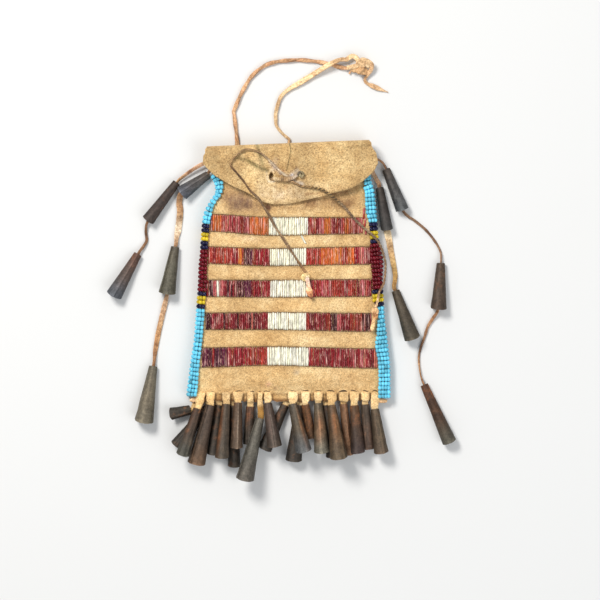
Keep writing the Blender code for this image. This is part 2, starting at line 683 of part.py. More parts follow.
def cone(name, mouth, heading, tilt, length, narrow, wide, finish, parent=None):
    """A cone with its origin at its mouth. Heading is its direction from above, tilt is upward."""
    mesh = cone_mesh(name, length, narrow, wide)
    mesh.materials.append(finish)
    obj = bpy.data.objects.new(name, mesh)
    bpy.context.scene.collection.objects.link(obj)
    place = Matrix.Translation(mouth) @ Matrix.Rotation(heading, 4, "Z")
    place = place @ Matrix.Rotation(-tilt, 4, "Y")
    if parent is not None:
        bpy.context.view_layer.update()
        obj.parent = parent
        place = parent.matrix_world.inverted() @ place
    obj.matrix_basis = place
    return obj


def fringe_x(share):
    """X along the hem, from the left end of the fringe to the right."""
    left = seam_x(0.0, -1) + BEAD_REACH + GAP
    right = seam_x(0.0, 1) - BEAD_REACH - GAP
    return left + (right - left) * share


def tab_ring(place, turn, width):
    """The section of a tab that heads along a turn from straight down."""
    across = Vector((math.cos(turn), math.sin(turn), 0.0)) * width / 2
    up = Vector((0.0, 0.0, TAB_TIP_THICKNESS / 2))
    return [place - across + up, place + across + up, place + across - up, place - across - up]


def tab_teeth(cones, turns, edge_y, root_z):
    """The tabs of a fringe strip, each narrowing and turning into the mouth of its cone."""
    teeth = []
    for index, (values, angles) in enumerate(zip(cones, turns)):
        turn, tilt = (math.radians(a) for a in angles)
        mouth = Vector((fringe_x(values[0]), edge_y - TAB_LENGTH * values[1], CONE_NARROW * values[2]))
        ahead = Vector((math.sin(turn), -math.cos(turn), math.tan(tilt)))
        lead = mouth - ahead * TAB_INSERT / 2
        middle = Vector((lead.x, (edge_y + lead.y) / 2, (root_z + lead.z) / 2))
        rings = [
            tab_ring(middle, turn / 2, (TAB_WIDTH + TAB_TIP_WIDTH) / 2),
            tab_ring(lead, turn, TAB_TIP_WIDTH),
            tab_ring(mouth + ahead * TAB_INSERT, turn, TAB_TIP_WIDTH),
        ]
        teeth.append((2 * index + 1, rings))
    return teeth


def fringe_strip(name, cones, turns, low, finish, hinge):
    """A hem strip cut into tabs, with its underside at a height."""
    edges = [fringe_x(0.0) - TAB_WIDTH / 2 - GAP]
    for values in cones:
        x = max(fringe_x(values[0]), edges[0] + TAB_WIDTH / 2 + GAP)
        edges += [x - TAB_WIDTH / 2, x + TAB_WIDTH / 2]
    edges.append(fringe_x(1.0) + GAP)
    y = HEM_Y - GAP
    top = [[Vector((x, line_y, low + HIDE)) for x in edges] for line_y in (y - FRINGE_DEPTH, y)]
    teeth = tab_teeth(cones, turns, y - FRINGE_DEPTH, low + HIDE / 2)
    add_object(name, slab(name, top, lowered(top, HIDE), teeth), finish, hinge)


def fringe_cones(prefix, cones, turns, finish, parents):
    edge_y = HEM_Y - GAP - FRINGE_DEPTH
    for index, (values, angles) in enumerate(zip(cones, turns)):
        share, tab, height, length, narrow, wide = values
        turn, tilt = (math.radians(a) for a in angles)
        mouth = Vector((fringe_x(share), edge_y - TAB_LENGTH * tab, CONE_NARROW * height))
        cone(
            f"{prefix}_{index + 1:02d}", mouth, turn - math.pi / 2, tilt,
            CONE_LENGTH * length, CONE_NARROW * narrow, CONE_WIDE * wide, finish, parents,
        )


def route(points):
    return [Vector(p) * MM for p in points]


def smooth_line(points, step):
    """The smooth curve through a route's points, with more between them where they are far apart."""
    ends = [points[0] * 2 - points[1]] + points + [points[-1] * 2 - points[-2]]
    line = []
    for a, b, c, d in zip(ends, ends[1:], ends[2:], ends[3:]):
        count = max(1, round((c - b).length / step))
        for t in (k / count for k in range(count)):
            linear, square, cube = c - a, a * 2 - b * 5 + c * 4 - d, b * 3 - a - c * 3 + d
            line.append(b + (linear * t + square * t**2 + cube * t**3) / 2)
    return line + [points[-1]]


def thong(name, points, diameter, finish, parent=None):
    """A round thong along a route."""
    line = smooth_line(route(points), diameter * TUBE_STEP_DIAMETERS)
    curve = bpy.data.curves.new(name, "CURVE")
    curve.dimensions = "3D"
    curve.bevel_depth = diameter / 2
    curve.bevel_resolution = TUBE_BEVEL_STEPS
    curve.use_fill_caps = True
    spline = curve.splines.new("POLY")
    spline.points.add(len(line) - 1)
    for point, place in zip(spline.points, line):
        point.co = (*place, 1.0)
    return add_object(name, curve, finish, parent)


def knot(name, stations, height, thicknesses, finish, parent=None):
    """A knot and its tail: oval rings along a level line, as thick as given for each ring."""
    line = [Vector((x * MM, y * MM, 0.0)) for x, y, _ in stations]
    rings = []
    for i, (place, station, thickness) in enumerate(zip(line, stations, thicknesses)):
        ahead = (line[min(i + 1, len(line) - 1)] - line[max(i - 1, 0)]).normalized()
        across = Vector((-ahead.y, ahead.x, 0.0))
        middle = place + Vector((0.0, 0.0, height(thickness)))
        ring = []
        for k in range(RING_SIDES):
            angle = 2 * math.pi * (k + 0.5) / RING_SIDES
            out = across * (station[2] * MM / 2 * math.cos(angle))
            ring.append(middle + out + Vector((0.0, 0.0, thickness / 2 * math.sin(angle))))
        rings.append(ring)
    add_object(name, loft(name, rings), finish, parent)


def tassel(name, points, cones, hide, tin):
    """A side thong with the cones threaded on it, all under a pivot at its root."""
    places = route(points)
    root = pivot(f"{name}_pivot", places[0] + Vector((0.0, 0.0, SIDE_THONG / 2)))
    thong(f"{name}_thong", points, SIDE_THONG, hide, root)
    for index, (mouth_at, end_at, wide_share) in enumerate(cones):
        wide = CONE_WIDE * wide_share
        along = places[end_at] - places[mouth_at]
        along.z = 0.0
        length = along.length
        if end_at == len(points) - 1:
            length += CONE_TAIL_COVER
        mouth = Vector((places[mouth_at].x, places[mouth_at].y, CONE_NARROW))
        heading = math.atan2(along.y, along.x)
        tilt = math.atan2(wide - CONE_NARROW, length)
        cone(f"{name}_cone_{index + 1}", mouth, heading, tilt, length, CONE_NARROW, wide, tin, root)


def neck_loop(hide):
    """Both strands and the knot that closes the loop, under a pivot just past the fold."""
    thong("neck_lacing", NECK_LACE_ROUTE, NECK_THONG, hide)
    lift = pivot("neck_loop_pivot", Vector((0.0, NECK_HINGE_Y, NECK_THONG + FLOOR_CLEARANCE)))
    thong("neck_strand_left", NECK_LEFT_ROUTE, NECK_THONG, hide, lift)
    thong("neck_strand_right", NECK_RIGHT_ROUTE, NECK_THONG, hide, lift)
    full, tail = NECK_KNOT_THICKNESS, NECK_TAIL_THICKNESS
    thicknesses = (full * 0.8, full, full, full * 0.8, tail, tail, tail, tail)
    knot(
        "neck_knot", NECK_KNOT_STATIONS, lambda t: t / 2 + FLOOR_CLEARANCE, thicknesses, hide, lift
    )


def flap_ties(hide, hinge):
    thong("tie_left", TIE_LEFT_ROUTE, TIE_THONG, hide, hinge)
    thong("tie_right", TIE_RIGHT_ROUTE, TIE_THONG, hide, hinge)
    full, tail = TIE_KNOT_THICKNESS, TIE_TAIL_THICKNESS
    thicknesses = (tail, full, full, tail, tail, tail)
    for name, stations, height in (
        ("tie_left_knot", TIE_LEFT_KNOT_STATIONS, TIE_LEFT_KNOT_HEIGHT),
        ("tie_right_knot", TIE_RIGHT_KNOT_STATIONS, TIE_RIGHT_KNOT_HEIGHT),
    ):
        knot(name, stations, lambda t, z=height: z, thicknesses, hide, hinge)


def main():
    clear_scene()
    hide = material("smoked_hide", (0.62, 0.42, 0.24), 0.85)
    bead_glass = material("light_blue_beads", (0.14, 0.53, 0.82), 0.3)
    quills = material("dyed_quills", (0.42, 0.06, 0.05), 0.45)
    tin = material("rusted_tin", (0.12, 0.09, 0.07), 0.55, 0.8)
    tie_hide = material("dark_thong", (0.25, 0.15, 0.09), 0.8)

    back_panel(hide)
    front_panel(hide)
    bead_edging("left_bead_edging", -1, bead_glass)
    bead_edging("right_bead_edging", 1, bead_glass)
    for index in range(len(BAND_SHARES)):
        quill_band(index, quills)

    outer = fold_frame() @ Vector((0.0, GAP + HIDE, TOP_RAISE))
    fold_root = pivot("flap_fold_pivot", outer, FOLD_SLANT)
    flap_root = pivot("flap_pivot", outer + Vector((0.0, 0.0, FLAP_HEIGHT - TOP_RAISE)), FOLD_SLANT)
    flap_fold(hide, fold_root)
    flap(hide, flap_root)
    tie_roll(tie_hide, flap_root)
    flap_ties(tie_hide, flap_root)

    hem_top = front_height(1.0, 0.0)
    fringe_root = pivot("fringe_pivot", Vector((0.0, HEM_Y - GAP / 2, hem_top)))
    fringe_strip(
        "front_fringe", FRONT_CONE_SHARES, FRONT_CONE_DEGREES, hem_top - HIDE, hide, fringe_root
    )
    fringe_strip("back_fringe", BACK_CONE_SHARES, BACK_CONE_DEGREES, EDGE_RAISE, hide, fringe_root)
    fringe_cones("front_cone", FRONT_CONE_SHARES, FRONT_CONE_DEGREES, tin, fringe_root)
    fringe_cones("back_cone", BACK_CONE_SHARES, BACK_CONE_DEGREES, tin, fringe_root)

    tassel("left_outer", LEFT_OUTER_ROUTE, LEFT_OUTER_CONE_SHARES, hide, tin)
    tassel("left_inner", LEFT_INNER_ROUTE, LEFT_INNER_CONE_SHARES, hide, tin)
    tassel("right_outer", RIGHT_OUTER_ROUTE, RIGHT_OUTER_CONE_SHARES, hide, tin)
    tassel("right_inner", RIGHT_INNER_ROUTE, RIGHT_INNER_CONE_SHARES, hide, tin)
    neck_loop(hide)


main()
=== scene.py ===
import math
import random

import bpy
from mathutils import Matrix, Vector, noise


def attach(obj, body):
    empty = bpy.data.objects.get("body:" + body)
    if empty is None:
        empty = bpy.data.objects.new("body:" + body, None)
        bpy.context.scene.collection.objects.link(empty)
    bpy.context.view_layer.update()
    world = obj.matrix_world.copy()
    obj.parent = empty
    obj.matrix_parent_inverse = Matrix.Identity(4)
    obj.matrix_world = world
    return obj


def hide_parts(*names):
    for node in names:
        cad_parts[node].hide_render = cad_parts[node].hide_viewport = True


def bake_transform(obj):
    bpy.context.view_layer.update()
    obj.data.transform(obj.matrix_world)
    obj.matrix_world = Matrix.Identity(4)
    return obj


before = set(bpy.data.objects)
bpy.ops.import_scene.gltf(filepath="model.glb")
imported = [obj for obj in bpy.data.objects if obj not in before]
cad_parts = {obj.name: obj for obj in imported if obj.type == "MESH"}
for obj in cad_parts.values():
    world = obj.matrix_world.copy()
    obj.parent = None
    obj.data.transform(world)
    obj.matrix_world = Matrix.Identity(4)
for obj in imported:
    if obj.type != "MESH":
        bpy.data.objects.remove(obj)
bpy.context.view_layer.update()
MM = 0.001


# Camera, floor and light, in metres

CAMERA_PLACE = (0.005, -0.015, 1.5)
LENS, SENSOR, FAR_CLIP = 180, 36, 20
FLOOR_HALF, FLOOR_Z = 3, -0.0001
PAPER = (0.74, 0.74, 0.73)
SKY, SKY_STRENGTH = (0.95, 0.97, 1.0), 0.45
# Each lamp's place, size, power in watts and colour
LAMPS = {
    "key": ((-0.45, 0.55, 0.95), 0.35, 12.0, (1.0, 0.98, 0.95)),
    "fill": ((0.6, -0.5, 0.9), 0.8, 5.0, (0.96, 0.98, 1.0)),
}


def add_object(name, data):
    obj = bpy.data.objects.new(name, data)
    bpy.context.scene.collection.objects.link(obj)
    return obj


def make_camera():
    data = bpy.data.cameras.new("camera")
    data.lens = LENS
    data.sensor_width = SENSOR
    data.clip_end = FAR_CLIP
    camera = add_object("camera", data)
    camera.location = CAMERA_PLACE
    bpy.context.scene.camera = camera


def make_lamp(name, place, size, power, colour):
    """A square lamp that points at the origin."""
    data = bpy.data.lights.new(name, "AREA")
    data.shape = "SQUARE"
    data.size = size
    data.energy = power
    data.color = colour
    lamp = add_object(name, data)
    lamp.location = place
    lamp.rotation_euler = (-Vector(place)).to_track_quat("-Z", "Y").to_euler()


def make_floor():
    mesh = bpy.data.meshes.new("floor")
    corners = [(x * FLOOR_HALF, y * FLOOR_HALF, FLOOR_Z) for x, y in ((-1, -1), (1, -1), (1, 1), (-1, 1))]
    mesh.from_pydata(corners, [], [(0, 1, 2, 3)])
    paper = bpy.data.materials.new("floor_paper")
    paper.use_nodes = True
    shader = paper.node_tree.nodes["Principled BSDF"]
    shader.inputs["Base Color"].default_value = (*PAPER, 1)
    shader.inputs["Roughness"].default_value = 0.9
    mesh.materials.append(paper)
    add_object("floor", mesh)


def make_world():
    world = bpy.data.worlds.new("studio")
    world.use_nodes = True
    background = world.node_tree.nodes["Background"]
    background.inputs["Color"].default_value = (*SKY, 1)
    background.inputs["Strength"].default_value = SKY_STRENGTH
    bpy.context.scene.world = world


make_camera()
make_floor()
make_world()
for lamp_name, lamp_values in LAMPS.items():
    make_lamp(lamp_name, *lamp_values)
bpy.context.scene.view_settings.view_transform = "Standard"


# Materials

# The mix node's sockets for its factor and its two colours, and the one for what it makes
MIX_INPUTS, MIX_OUTPUT = (0, 6, 7), 2


def lin(r, g, b):
    """A colour picked as 0 to 255, as the linear value a shader takes."""
    return tuple((c / 255 / 12.92) if c <= 10 else ((c / 255 + 0.055) / 1.055) ** 2.4 for c in (r, g, b))


class Nodes:
    """Short calls to build one material's node tree. The scale of a texture is per metre."""

    def __init__(self, name):
        self.material = bpy.data.materials.new(name)
        self.material.use_nodes = True
        self.tree = self.material.node_tree
        self.place = self.add("TexCoord").outputs["Object"]

    def feed(self, socket, value):
        """Links a socket to another node's output, or sets it to a constant."""
        if isinstance(value, bpy.types.NodeSocket):
            self.tree.links.new(value, socket)
        else:
            socket.default_value = (*value, 1) if socket.type == "RGBA" else value

    def add(self, kind, **inputs):
        node = self.tree.nodes.new("ShaderNode" + kind)
        for name, value in inputs.items():
            self.feed(node.inputs[name], value)
        return node

    def shade(self, name, value):
        """Gives the shader one of its values."""
        self.feed(self.tree.nodes["Principled BSDF"].inputs[name], value)

    def attribute(self, name="tint", output="Color"):
        node = self.add("Attribute")
        node.attribute_name = name
        return node.outputs[output]

    def noise(self, scale, detail=3.0, rough=0.55, stretch=None, distortion=0.0, turn=0.0, place=None):
        """Cloudy grey, stretched along axes that are turned about Z, or at the places given."""
        if place is None:
            place = self.stretched(stretch, turn) if stretch else self.place
        node = self.add("TexNoise", Scale=scale, Detail=detail, Roughness=rough, Distortion=distortion,
                        Vector=place)
        return node.outputs["Fac"]

    def stretched(self, stretch, turn):
        node = self.add("Mapping")
        node.vector_type = "TEXTURE"
        self.feed(node.inputs["Rotation"], (0, 0, turn))
        self.feed(node.inputs["Scale"], tuple(1 / s for s in stretch))
        self.feed(node.inputs["Vector"], self.place)
        return node.outputs["Vector"]

    def cells(self, scale):
        return self.add("TexVoronoi", Scale=scale, Vector=self.place).outputs["Distance"]

    def ramp(self, value, stops):
        """A colour for each value, from stops of value and colour."""
        node = self.add("ValToRGB", Fac=value)
        elements = node.color_ramp.elements
        while len(elements) < len(stops):
            elements.new(0.5)
        for element, (at, colour) in zip(elements, stops):
            element.position = at
            element.color = (*colour, 1)
        return node.outputs["Color"]

    def grey(self, value, low, high, at=(0.0, 1.0)):
        return self.ramp(value, [(at[0], (low,) * 3), (at[1], (high,) * 3)])

    def mix(self, a, b, factor, blend="MIX"):
        node = self.add("Mix")
        node.data_type = "RGBA"
        node.blend_type = blend
        for index, value in zip(MIX_INPUTS, (factor, a, b)):
            self.feed(node.inputs[index], value)
        return node.outputs[MIX_OUTPUT]

    def times(self, a, b, factor=1.0):
        return self.mix(a, b, factor, "MULTIPLY")

    def math(self, a, b, operation="ADD"):
        node = self.add("Math")
        node.operation = operation
        self.feed(node.inputs[0], a)
        self.feed(node.inputs[1], b)
        return node.outputs[0]

    def weighted(self, a, a_share, b, b_share):
        return self.math(self.math(a, a_share, "MULTIPLY"), self.math(b, b_share, "MULTIPLY"))

    def bump(self, height, strength, distance, normal=None):
        node = self.add("Bump", Strength=strength, Distance=distance, Height=height)
        if normal is not None:
            self.feed(node.inputs["Normal"], normal)
        return node.outputs["Normal"]


def hide_material(name, dark, base, light, freckles, roughness=0.82, mottle=55.0):
    """Smoked hide: cloudy tone, small dark freckles and pores, and a fine nap. The tint attribute paints what is
    soiled or worn, and also painted shade and highlights."""
    n = Nodes(name)
    patches = n.weighted(n.noise(mottle, 5.0, 0.62), 0.62, n.noise(mottle * 6, 4.0, 0.6), 0.38)
    colour = n.ramp(patches, [(0.36, lin(*dark)), (0.5, lin(*base)), (0.64, lin(*light))])
    pores = n.cells(1150.0)
    colour = n.times(colour, n.grey(pores, 1.0 - freckles * 0.6, 1.0, (0.06, 0.26)), 0.9)
    deep = tuple(1 - freckles * k for k in (1.3, 1.55, 1.7))
    specks = n.noise(1250.0, 4.0, 0.75, distortion=0.6)
    peppered = n.ramp(specks, [(0.38, deep), (0.48, (0.96, 0.95, 0.92)), (0.6, (1.14, 1.14, 1.14))])
    colour = n.times(colour, peppered)
    colour = n.times(colour, n.grey(n.noise(1700.0, 3.0, 0.7), 0.72, 1.24, (0.36, 0.64)), 0.9)
    n.shade("Base Color", n.times(colour, n.attribute()))
    n.shade("Roughness", roughness)
    n.shade("Sheen Weight", 0.1)
    n.shade("Sheen Roughness", 0.5)
    nap = n.bump(n.noise(2600.0, 3.0, 0.65), 0.4, 0.0002)
    grain = n.bump(n.noise(420.0, 4.0, 0.6), 0.45, 0.0005, nap)
    n.shade("Normal", n.bump(pores, 0.3, 0.0003, grain))
    return n.material


def quill_material():
    """Flattened dyed quills: streaks along their length, slanted painted shade, painted glints and a satin skin.
    The tint attribute is the dye, its worn patches, and painted shade and highlights.
    """
    n = Nodes("quill_dye")
    streak = n.grey(n.noise(900.0, 3.0, 0.6, stretch=(2.2, 0.18, 1.0)), 0.72, 1.2, (0.3, 0.7))
    blotch = n.grey(n.noise(260.0, 3.0, 0.6), 0.80, 1.08, (0.3, 0.65))
    # Painted shade: slanted dark streaks across the dye
    shadow = n.grey(n.noise(1100.0, 3.0, 0.6, stretch=(1.5, 0.3, 1.0), turn=-0.2), 0.6, 1.16, (0.36, 0.58))
    colour = n.times(n.attribute(), streak, 0.8)
    colour = n.times(colour, blotch, 0.8)
    colour = n.times(colour, shadow, 0.85)
    # Painted highlights: pale slanted glints screened over the dye
    for turn, strength in ((0.26, 0.6), (-0.3, 0.45)):
        glint = n.noise(1500.0 - 800 * turn, 3.0, 0.65, stretch=(1.3, 0.26, 1.0), turn=turn)
        colour = n.mix(colour, lin(236, 176, 160), n.grey(glint, 0.0, strength, (0.58, 0.67)), "SCREEN")
    n.shade("Base Color", colour)
    n.shade("Roughness", 0.34)
    n.shade("Specular IOR Level", 0.35)
    long_wave = n.bump(n.noise(420.0, 3.0, 0.6, stretch=(2.0, 0.6, 1.0)), 0.5, 0.0004)
    n.shade("Normal", n.bump(n.noise(1500.0, 2.0, 0.6, stretch=(2.5, 0.15, 1.0)), 0.35, 0.0002, long_wave))
    return n.material


def bead_material():
    """Opaque glass beads with slightly uneven colour and a clear gloss."""
    n = Nodes("seed_bead_glass")
    n.shade("Base Color", n.times(n.attribute(), n.grey(n.noise(900.0, 3.0, 0.6), 0.82, 1.12, (0.3, 0.7)), 0.8))
    n.shade("Roughness", n.grey(n.noise(1500.0), 0.24, 0.42, (0.3, 0.7)))
    n.shade("Specular IOR Level", 0.32)
    return n.material


def tin_material():
    """Old rolled tinplate with scratches down its length. The tint attribute is the metal's tone with painted
    light and shade, rust says where it rusts, and grain holds places along and around the cone."""
    n = Nodes("rusty_tinplate")
    grain = n.attribute("grain", "Vector")
    broad, thin = n.noise(0.9, 4.0, 0.62, place=grain), n.noise(2.6, 3.0, 0.62, place=grain)
    cloud = n.noise(260.0, 5.0, 0.65)
    fine = n.noise(1500.0, 4.0, 0.6)
    speck = n.noise(700.0, 5.0, 0.7)
    metal = n.attribute()
    for value, low, high, at, factor in (
        (broad, 0.74, 1.26, (0.32, 0.68), 0.8),
        (thin, 0.76, 1.3, (0.34, 0.7), 0.7),
        (cloud, 0.68, 1.3, (0.32, 0.68), 0.85),
        (speck, 0.7, 1.34, (0.34, 0.66), 0.8),
        (fine, 0.72, 1.28, (0.35, 0.65), 0.85),
    ):
        metal = n.times(metal, n.grey(value, low, high, at), factor)
    rust_stops = [(0.36, lin(62, 38, 28)), (0.5, lin(108, 68, 44)), (0.6, lin(172, 106, 58))]
    rust = n.ramp(n.weighted(fine, 0.5, cloud, 0.5), rust_stops)
    wander = n.weighted(broad, 0.4, cloud, 1.0)
    amount = n.math(n.attribute("rust"), n.math(wander, 0.7, "SUBTRACT"))
    mask = n.grey(amount, 0.0, 0.8, (0.34, 0.72))
    n.shade("Base Color", n.mix(metal, rust, mask))
    n.shade("Metallic", n.grey(mask, 0.36, 0.05))
    n.shade("Roughness", n.mix(n.grey(cloud, 0.52, 0.7, (0.3, 0.7)), (0.82, 0.82, 0.82), mask))
    dent = n.bump(thin, 0.2, 0.0003, n.bump(cloud, 0.3, 0.0006))
    n.shade("Normal", n.bump(fine, 0.4, 0.0002, dent))
    return n.material


# The hides' own tones as picked, which the tints are worked out against
HIDE_BASE, FLAP_BASE, THONG_BASE, TIE_BASE = (212, 176, 122), (212, 175, 118), (196, 156, 112), (130, 100, 68)
HIDE_LOOK = hide_material("smoked_hide_body", (184, 146, 94), HIDE_BASE, (232, 202, 150), 0.24)
FLAP_LOOK = hide_material("smoked_hide_flap", (182, 144, 90), FLAP_BASE, (232, 200, 144), 0.36)
THONG_LOOK = hide_material("hide_thong", (142, 102, 66), THONG_BASE, (228, 194, 148), 0.2, 0.8, 140.0)
TIE_LOOK = hide_material("dark_thong", (88, 62, 38), TIE_BASE, (172, 140, 102), 0.2, 0.8, 180.0)
SLIT_SHADOW_LOOK = hide_material("slit_shadow", (30, 18, 12), (44, 28, 18), (60, 40, 28), 0.3, 0.95, 140.0)
QUILL = quill_material()
BEAD = bead_material()
TIN = tin_material()


# Mesh building, in millimetres

SHARP_ANGLE = math.radians(50)


def mesh_object(name, points, faces, material, body, replaces):
    """A smooth piece that rides on a body. Without one, it is left on no body."""
    mesh = bpy.data.meshes.new(name)
    mesh.from_pydata([(p[0] * MM, p[1] * MM, p[2] * MM) for p in points], [], faces)
    mesh.validate()
    mesh.shade_smooth()
    mesh.set_sharp_from_angle(angle=SHARP_ANGLE)
    mesh.materials.append(material)
    obj = add_object(name, mesh)
    if body is not None:
        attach(obj, body)
    if replaces:
        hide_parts(*replaces)
    return obj


def paint(obj, colours, name="tint"):
    """A colour for each vertex."""
    layer = obj.data.color_attributes.new(name, "FLOAT_COLOR", "POINT")
    for item, colour in zip(layer.data, colours):
        item.color = (*colour, 1.0)


def spread(count):
    """Even shares from -1 to 1."""
    return [-1 + 2 * k / count for k in range(count + 1)]


def lattice(outer, inner):
    """A closed sheet between two equal grids of points."""
    rows, columns = len(outer), len(outer[0])
    points = [p for row in outer for p in row] + [p for row in inner for p in row]
    low = rows * columns
    faces = []
    for r in range(rows - 1):
        for c in range(columns - 1):
            a, b = r * columns + c, (r + 1) * columns + c
            faces.append((a, a + 1, b + 1, b))
            faces.append((a + low, b + low, b + 1 + low, a + 1 + low))
    for c in range(columns - 1):
        a, b = c, (rows - 1) * columns + c
        faces.append((a + 1, a, a + low, a + 1 + low))
        faces.append((b, b + 1, b + 1 + low, b + low))
    for r in range(rows - 1):
        a, b = r * columns, (r + 1) * columns - 1
        faces.append((a, a + columns, a + columns + low, a + low))
        faces.append((b + columns, b, b + low, b + columns + low))
    return points, faces


def tube_faces(start, rings, sides):
    """The walls between rings of points, and the two faces that close the ends."""
    walls = []
    for i in range(rings - 1):
        for k in range(sides):
            a, b = start + i * sides + k, start + i * sides + (k + 1) % sides
            walls.append((a, b, b + sides, a + sides))
    last = start + (rings - 1) * sides
    return walls, [tuple(range(start, start + sides))[::-1], tuple(range(last, last + sides))]


def smooth_value(table, place, column):
    """A value between the rows of a table, on a smooth curve through them."""
    keys = [row[0] for row in table]
    vals = [row[column] for row in table]
    place = min(max(place, keys[0]), keys[-1])
    i = 0
    while i < len(keys) - 2 and place > keys[i + 1]:
        i += 1

    def slope(k):
        if k == 0 or k == len(keys) - 1:
            j = min(max(k, 1), len(keys) - 1)
            return (vals[j] - vals[j - 1]) / (keys[j] - keys[j - 1])
        before = (vals[k] - vals[k - 1]) / (keys[k] - keys[k - 1])
        after = (vals[k + 1] - vals[k]) / (keys[k + 1] - keys[k])
        if before * after <= 0:
            return 0.0
        return 2 * before * after / (before + after)

    h = keys[i + 1] - keys[i]
    t = (place - keys[i]) / h
    a, b, c, d = vals[i], vals[i + 1], slope(i) * h, slope(i + 1) * h
    return a + c * t + (3 * (b - a) - 2 * c - d) * t * t + (2 * (a - b) + c + d) * t ** 3


def ease(t):
    t = min(1.0, max(0.0, t))
    return t * t * (3 - 2 * t)


def cloud(x, y, size, seed):
    return noise.noise(Vector((x / size + seed, y / size - seed, seed * 0.7)))


# The body's shape, as in the solids: lowest edge, length and half width, the fold's slant and its middle, how
# thick the hide is and how far its two layers lie apart, how full the pouch is, and how far its underside is
# lifted at the seams and at the fold
HEM_Y, LENGTH, HALF = -61.0, 122.65, 49.0
SLANT, FOLD_X = math.radians(2.3), -0.85
HIDE, GAP, BULGE = 1.2, 0.3, 6.5
EDGE, TOP = 2.2, 2.8
# Up the body: both seams as shares of the half width, fullness, and how far the underside is lifted like the
# seams and like the fold
BODY = (
    (0.000, -1.014, 0.980, 0.00, 1.0, 0.00), (0.050, -0.996, 0.978, 0.50, 0.7, 0.00),
    (0.114, -0.976, 0.973, 0.80, 0.1, 0.00), (0.208, -0.935, 0.947, 0.95, 0.0, 0.00),
    (0.326, -0.910, 0.914, 1.00, 0.0, 0.00), (0.430, -0.890, 0.894, 1.00, 0.0, 0.00),
    (0.538, -0.873, 0.884, 1.00, 0.0, 0.00), (0.620, -0.863, 0.857, 1.00, 0.0, 0.00),
    (0.718, -0.827, 0.837, 1.00, 0.0, 0.00), (0.770, -0.767, 0.824, 0.98, 0.0, 0.00),
    (0.810, -0.710, 0.814, 0.96, 0.0, 0.00), (0.850, -0.722, 0.784, 0.93, 0.0, 0.00),
    (0.890, -0.772, 0.768, 0.89, 0.0, 0.00), (0.905, -0.788, 0.780, 0.88, 0.0, 0.20),
    (0.942, -0.829, 0.829, 0.86, 0.0, 1.00), (1.000, -0.841, 0.841, 0.86, 0.0, 1.00),
)


def seam_x(v, side):
    return HALF * smooth_value(BODY, v, 1 if side < 0 else 2)


def body_point(u, v):
    left, right = seam_x(v, -1), seam_x(v, 1)
    x = left + (right - left) * (u + 1) / 2
    return x, HEM_Y + LENGTH * v + (x - FOLD_X) * math.tan(SLANT) * ease((v - 0.85) / 0.15)


def under_height(u, v):
    """The underside's height at a share across from -1 to 1 and a share up the body."""
    edge = ease((abs(u) - 0.6) / 0.4)
    return max(EDGE * edge, EDGE * smooth_value(BODY, v, 4), TOP * smooth_value(BODY, v, 5))


def front_height(u, v):
    full = smooth_value(BODY, v, 3) * max(0.0, 1 - u * u) ** 1.1
    return under_height(u, v) + 2 * HIDE + GAP + BULGE * full


def u_at(x, v):
    left, right = seam_x(v, -1), seam_x(v, 1)
    return 2 * (x - left) / (right - left) - 1


def v_at(y):
    return (y - HEM_Y) / LENGTH


# The pixel of the 600 px picture that is the origin, and pixels to a millimetre
ORIGIN_X, ORIGIN_Y, PIXELS = 290, 270, 2


def px(x, y):
    """A place picked on the picture, in millimetres."""
    return (x - ORIGIN_X) / PIXELS, (ORIGIN_Y - y) / PIXELS


def picture_x(x):
    return ORIGIN_X + PIXELS * x


def picture_y(y):
    return ORIGIN_Y - PIXELS * y


def fold_place(x, y):
    """X and Y of a place in the fold's own slanted frame."""
    c, s = math.cos(SLANT), math.sin(SLANT)
    return FOLD_X + x * c - y * s, HEM_Y + LENGTH + x * s + y * c


def from_fold(x, y):
    """A place in the fold's own slanted frame, as the millimetres along it and below it."""
    c, s = math.cos(SLANT), math.sin(SLANT)
    dx, dy = x - FOLD_X, y - HEM_Y - LENGTH
    return dx * c + dy * s, dx * s - dy * c


# Paths, strips and cones

# How high a strip's underside stays above the floor
STRIP_FLOOR = 0.03


def smooth_path(points, step):
    """Points about one step apart on the smooth curve through a route's points."""
    route = [Vector(p) for p in points]
    ends = [route[0] * 2 - route[1]] + route + [route[-1] * 2 - route[-2]]
    dense = []
    for a, b, c, d in zip(ends, ends[1:], ends[2:], ends[3:]):
        count = max(2, round((c - b).length / step))
        for k in range(count):
            t = k / count
            dense.append((b * 2 + (c - a) * t + (a * 2 - b * 5 + c * 4 - d) * t ** 2
                          + (b * 3 - a - c * 3 + d) * t ** 3) / 2)
    return dense + [route[-1]]


def path_length(line):
    return sum((b - a).length for a, b in zip(line, line[1:]))


